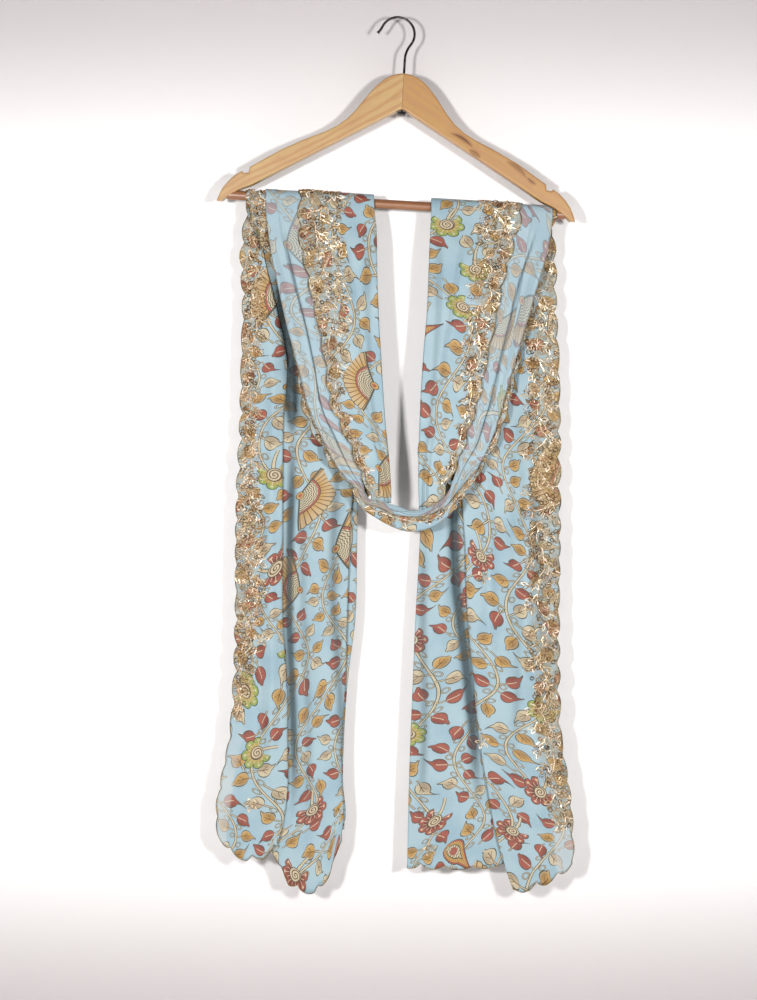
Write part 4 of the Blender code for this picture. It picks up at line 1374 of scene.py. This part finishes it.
def spray(beads, along, inwards, bearing, leaves, luck):
    """A side stem with leaves on alternate sides and one at its tip."""
    turn = luck.uniform(-0.16, 0.16)
    side = 1
    for _ in range(leaves):
        bearing += turn
        along += LEAF_STEP * math.cos(bearing)
        inwards += LEAF_STEP * math.sin(bearing)
        beads.append(Bead(along, inwards, bearing, LEAF_STEP, luck.uniform(0.6, 1.0)))
        side = -side
        leaf_of_beads(beads, along, inwards, bearing + side * 0.8, luck.uniform(8.0, 10.0), leaf_tone_and_glint(luck))
    leaf_of_beads(beads, along, inwards, bearing, TIP_LEAF, leaf_tone_and_glint(luck))


def bunch(beads, along, inwards, count, luck):
    """Round beads sewn close together, like a bunch of grapes, with a dark one here and there."""
    for k in range(count):
        out = BUNCH_REACH * math.sqrt((k + 0.5) / BUNCH_SIZE)
        place = along + out * math.cos(k * SEED_TURN) * 1.15, inwards + out * math.sin(k * SEED_TURN)
        beads.append(Bead(*place, 0, 0, luck.uniform(0.2, 0.95) if k % 4 else 0.02))


def loop(beads, along, inwards, radius, tone, luck):
    """A small ring of beads, short tubes and round ones by turns."""
    start = luck.uniform(0, math.pi)
    for k in range(LOOP_BEADS):
        turn = start + k * 2 * math.pi / LOOP_BEADS
        place = along + radius * math.cos(turn), inwards + radius * math.sin(turn)
        beads.append(Bead(*place, turn + math.pi / 2, 1.7 if k % 2 else 0, tone))


def embroidery(length, width_at, fill, light, luck):
    """The beads of a border this long. width_at gives its width at a length along it, and fill how close the
    small rings between the sprays lie."""
    beads = []

    def stem_at(along):
        return width_at(along) * (0.5 + STEM_SWING * math.sin(2 * math.pi * along / STEM_WAVE))

    for along in np.arange(2.0, length, 3.0):
        width = width_at(along)
        swing = width * STEM_SWING * 2 * math.pi / STEM_WAVE
        bearing = math.atan(swing * math.cos(2 * math.pi * along / STEM_WAVE))
        if width > 8:
            beads.append(Bead(along, stem_at(along), bearing, STEM_BEAD, luck.uniform(0.6, 1)))
    side = 1
    for along in np.arange(4.0, length, SPRAY_EVERY):
        stem = stem_at(along)
        side = -side
        leaves = int((width_at(along) - stem if side > 0 else stem) / LEAF_STEP)
        if leaves > 0:
            spray(beads, along, stem, side * luck.uniform(0.55, 1.2), min(leaves, MOST_LEAVES), luck)
    for along in np.arange(9.0, length, BUNCH_EVERY):
        width = width_at(along)
        count = BUNCH_SIZE if width > 12 else 7
        bunch(beads, along + luck.uniform(-5, 5), width * luck.choice([0.22, 0.94]), count, luck)
    for along in np.arange(0.5, length, 1.0):
        width = width_at(along)
        for _ in range(luck.poisson(max(width, 0) * fill / RING_ROOM)):
            tone = luck.beta(1.2, 1.2 if light else 2.0)
            inwards = luck.uniform(2, width * 0.94)
            loop(beads, along, inwards, LOOP_RADIUS * luck.uniform(0.7, 1.2), tone, luck)
    return [
        bead for bead in beads
        if 0.5 < bead.along < length and 0.8 < bead.inwards < width_at(bead.along) + 9
    ]


def border_strip(cloth, edge):
    """Points a millimetre apart in from a long edge, for each row of a cloth, and each row's length along."""
    places = in_room(cloth.places)
    rows = places if edge == 0 else places[:, ::-1]
    near_rows = rows[:, :STRIP_COLUMNS]
    reach = lengths_along(near_rows, 1)
    stops = np.arange(STRIP_REACH)
    strip = np.stack([
        np.stack([np.interp(stops, reach[i], row[:, k]) for k in range(3)], axis=1)
        for i, row in enumerate(near_rows)
    ])
    return strip, lengths_along(rows[:, :1], 0)[:, 0]


def on_strip(strip, down, along, inwards):
    """Places on a border strip at these lengths along and in."""
    row = np.clip(np.interp(along, down, np.arange(len(down))), 0, len(down) - 1.001)
    step = np.clip(inwards, 0, STRIP_REACH - 1.001)
    i, j = row.astype(int), step.astype(int)
    s, t = (row - i)[:, None], (step - j)[:, None]
    upper = strip[i, j] * (1 - t) + strip[i, j + 1] * t
    lower = strip[i + 1, j] * (1 - t) + strip[i + 1, j + 1] * t
    return upper * (1 - s) + lower * s


def unit(vectors):
    return vectors / np.maximum(np.linalg.norm(vectors, axis=1, keepdims=True), 1e-9)


def laid_beads(beads, strip, down, outward, luck):
    """The points, faces and tones of beads laid on a strip of cloth: first the tubes, then the round ones."""
    along, inwards, bearing, length, tone = (np.array(values) for values in zip(*beads))
    middle = on_strip(strip, down, along, inwards)
    ahead = unit(on_strip(strip, down, along + 1.5, inwards) - on_strip(strip, down, along - 1.5, inwards))
    aside = unit(on_strip(strip, down, along, inwards + 1) - on_strip(strip, down, along, inwards - 1))
    up = unit(np.cross(ahead, aside)) * outward
    axis = unit(ahead * np.cos(bearing)[:, None] + aside * np.sin(bearing)[:, None])
    flank = np.cross(up, axis)
    made = []
    for chosen, (form, faces) in ((length > 0, tube_form()), (length == 0, round_form())):
        count = int(chosen.sum())
        size = luck.uniform(0.85, 1.2, count)
        if length[chosen].sum() > 0:
            stretch = np.stack([length[chosen], TUBE_RADIUS * size, TUBE_RADIUS * size], axis=1)
        else:
            stretch = np.repeat((ROUND_RADIUS * size)[:, None], 3, axis=1)
        lift = CLOTH_THICK / 2 + stretch[:, 2] * luck.uniform(0.8, 1.7, count)
        tilt = luck.normal(0, 0.2, count)[:, None]
        base = middle[chosen] + up[chosen] * lift[:, None]
        lengthways = unit(axis[chosen] + up[chosen] * tilt)
        upwards = unit(up[chosen] - axis[chosen] * tilt)
        points = (
            base[:, None] + form[None, :, :1] * (lengthways * stretch[:, :1])[:, None]
            + form[None, :, 1:2] * (flank[chosen] * stretch[:, 1:2])[:, None]
            + form[None, :, 2:] * (upwards * stretch[:, 2:])[:, None]
        )
        tones_and_glints = np.repeat(np.clip(tone[chosen] + luck.normal(0, 0.1, count), 0, 1), len(form))
        made.append((points.reshape(-1, 3), faces, len(form), count, tones_and_glints))
    return made


def thread_along(points, luck):
    """A thread of four sides along a line of points, its tone wandering along it."""
    ahead = unit(np.gradient(points, axis=0))
    flank = unit(np.cross(ahead, np.array([0.0, 1.0, 0.001])))
    rise = np.cross(ahead, flank)
    ring = np.stack([flank, rise, -flank, -rise], axis=1) * THREAD_RADIUS
    steps = len(points) - 1
    faces = [
        (4 * i + k, 4 * i + (k + 1) % 4, 4 * i + 4 + (k + 1) % 4, 4 * i + 4 + k)
        for i in range(steps) for k in range(4)
    ]
    faces += [(3, 2, 1, 0), tuple(range(4 * steps, 4 * steps + 4))]
    tones_and_glints = np.repeat(luck.uniform(0, 1, len(points)), 4)
    return (points[:, None] + ring).reshape(-1, 3), faces, 4 * len(points), 1, tones_and_glints


def beaded_piece(name, laid, luck, threads):
    """One mesh of all the beads of a border and the threads that bind its edges. laid holds pairs of a finish
    and the points, faces, points of one form, count and tones with painted glint of its beads."""
    laid = laid + [(THREAD, thread_along(line, luck)) for line in threads]
    points, faces, tones_and_glints, finishes = [], [], [], []
    start = 0
    for finish, (corners, form_faces, size, count, shades) in laid:
        for offset in range(start, start + size * count, size):
            faces += [tuple(offset + k for k in face) for face in form_faces]
        finishes += [finish] * (count * len(form_faces))
        points.append(corners)
        tones_and_glints.append(shades)
        start += len(corners)
    mesh = bpy.data.meshes.new(name)
    mesh.from_pydata((np.concatenate(points) * MM).tolist(), [], faces)
    carry(mesh, "tone", np.concatenate(tones_and_glints))
    part = add_part(name, mesh, [gold_beads, copper_beads, gold_thread])
    mesh.polygons.foreach_set("material_index", finishes)
    return part


GOLD, COPPER, THREAD = range(3)


def border_piece(name, cloth, edge, reach, widths, outward, fill, seed, hem=False, sprigs=(), light=False):
    """A border's beads on one long edge of a cloth, with the thread that binds it. reach is where the border
    begins and how long it is, widths a table by length along it, and sprigs are flowers on the field."""
    luck = np.random.default_rng(seed)
    strip, down = border_strip(cloth, edge)
    start, length = reach
    stops, sizes = zip(*widths)
    beads = embroidery(length, lambda along: float(np.interp(along + start, stops, sizes)), fill, light, luck)
    beads = [bead._replace(along=bead.along + start) for bead in beads]
    tubes, rounds = laid_beads(beads, strip, down, outward, luck)
    laid = [(GOLD, tubes), (COPPER, rounds)]
    for place in sprigs:
        tubes, rounds = laid_beads(sprig(luck), *field_patch(cloth.places, place), 1, luck)
        laid += [(GOLD, tubes), (GOLD, rounds)]
    threads = [in_room(cloth.places)[:, edge]]
    if hem:
        threads.append(in_room(cloth.places)[-1])
    return beaded_piece(name, laid, luck, threads)


def field_patch(places, middle):
    """A small strip of the front of the cloth round a place (across, drop), for beads to be laid on."""
    down = np.arange(-PATCH_TOP, 22.0, 4.0)
    samples = np.arange(-PATCH_HALF_WIDTH, PATCH_HALF_WIDTH + 1, 4.0)
    stops = np.arange(STRIP_REACH) - PATCH_HALF_WIDTH
    rows = []
    for drop in middle[1] + down:
        fronts = []
        for across in middle[0] + samples:
            close = np.hypot(places[..., 0] - across, places[..., 2] - drop) < 6
            fronts.append(places[..., 1][close].max())
        fronts = np.interp(stops, samples, fronts)
        rows.append(np.stack([middle[0] + stops, -fronts, np.full(STRIP_REACH, -drop)], axis=1))
    return np.stack(rows), down + PATCH_TOP


def sprig(luck):
    """A lone flower of beads: five leaves round a few pale round beads."""
    beads = []
    along, inwards = PATCH_TOP, PATCH_HALF_WIDTH
    start = luck.uniform(0, 1)
    for i in range(5):
        bearing = start + i * 2 * math.pi / 5
        place = along + 2.2 * math.cos(bearing), inwards + 2.2 * math.sin(bearing)
        leaf_of_beads(beads, *place, bearing, 6.5, luck.uniform(0.7, 1))
    for _ in range(7):
        place = along + luck.normal(0, 1.8), inwards + luck.normal(0, 1.8)
        beads.append(Bead(*place, 0, 0, luck.uniform(0.8, 1)))
    return beads


def along_of_drop(cloth, edge, widths):
    """The same table of widths by length along the edge instead of by drop, for all that hangs."""
    line = cloth.places[:, edge]
    down = lengths_along(line[:, None], 0)[:, 0]
    hanging = down > ROUND_BAR
    return [(float(np.interp(drop, line[hanging, 2], down[hanging])), width) for drop, width in widths]


def edge_length(cloth, edge):
    return lengths_along(cloth.places[:, edge][:, None], 0)[-1, 0]


def span(whole, before, after):
    """Where a border begins and how long it is, on an edge with this much left free at its two ends."""
    return before, whole - (before + after)


for side, outward in (("left", 1), ("right", -1)):
    cloth = tail_cloths[side]
    widths = along_of_drop(cloth, 0, FRONT_BORDER[side])
    beads = border_piece(
        "beads_tail_" + side, cloth, 0, span(widths[-1][0], 4, 2), widths, outward, TAIL_FILL[side],
        seed=11 + len(side), hem=True, sprigs=SPRIGS[side], light=side == "left",
    )
    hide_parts("border_tail_" + side)
    widths = along_of_drop(cloth, -1, BACK_BORDER)
    behind = border_piece(
        "beads_back_" + side, cloth, -1, span(widths[-1][0], 4, 2), widths, -outward, BACK_FILL,
        seed=23 + len(side),
    )
    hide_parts("border_back_" + side)

edge_beads = border_piece(
    "beads_swag_edge", back_cloth, 0, span(edge_length(back_cloth, 0), 4, 4), edge_widths, 1, SWAG_FILL,
    seed=31,
)

roll_beads = border_piece(
    "beads_turnup", roll_cloth, -1, span(edge_length(roll_cloth, -1), 2, 2), TURNUP_BORDER, -1, SWAG_FILL,
    seed=41,
)
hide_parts("border_turnup")

for side, outward in (("left", 1), ("right", -1)):
    cloth = flap_cloths[side]
    beads = border_piece(
        "beads_flap_" + side, cloth, -1, span(edge_length(cloth, -1), 3, 27), FLAP_BORDER[side], outward,
        FLAP_FILL, seed=53 + len(side),
    )
    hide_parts("border_flap_" + side)
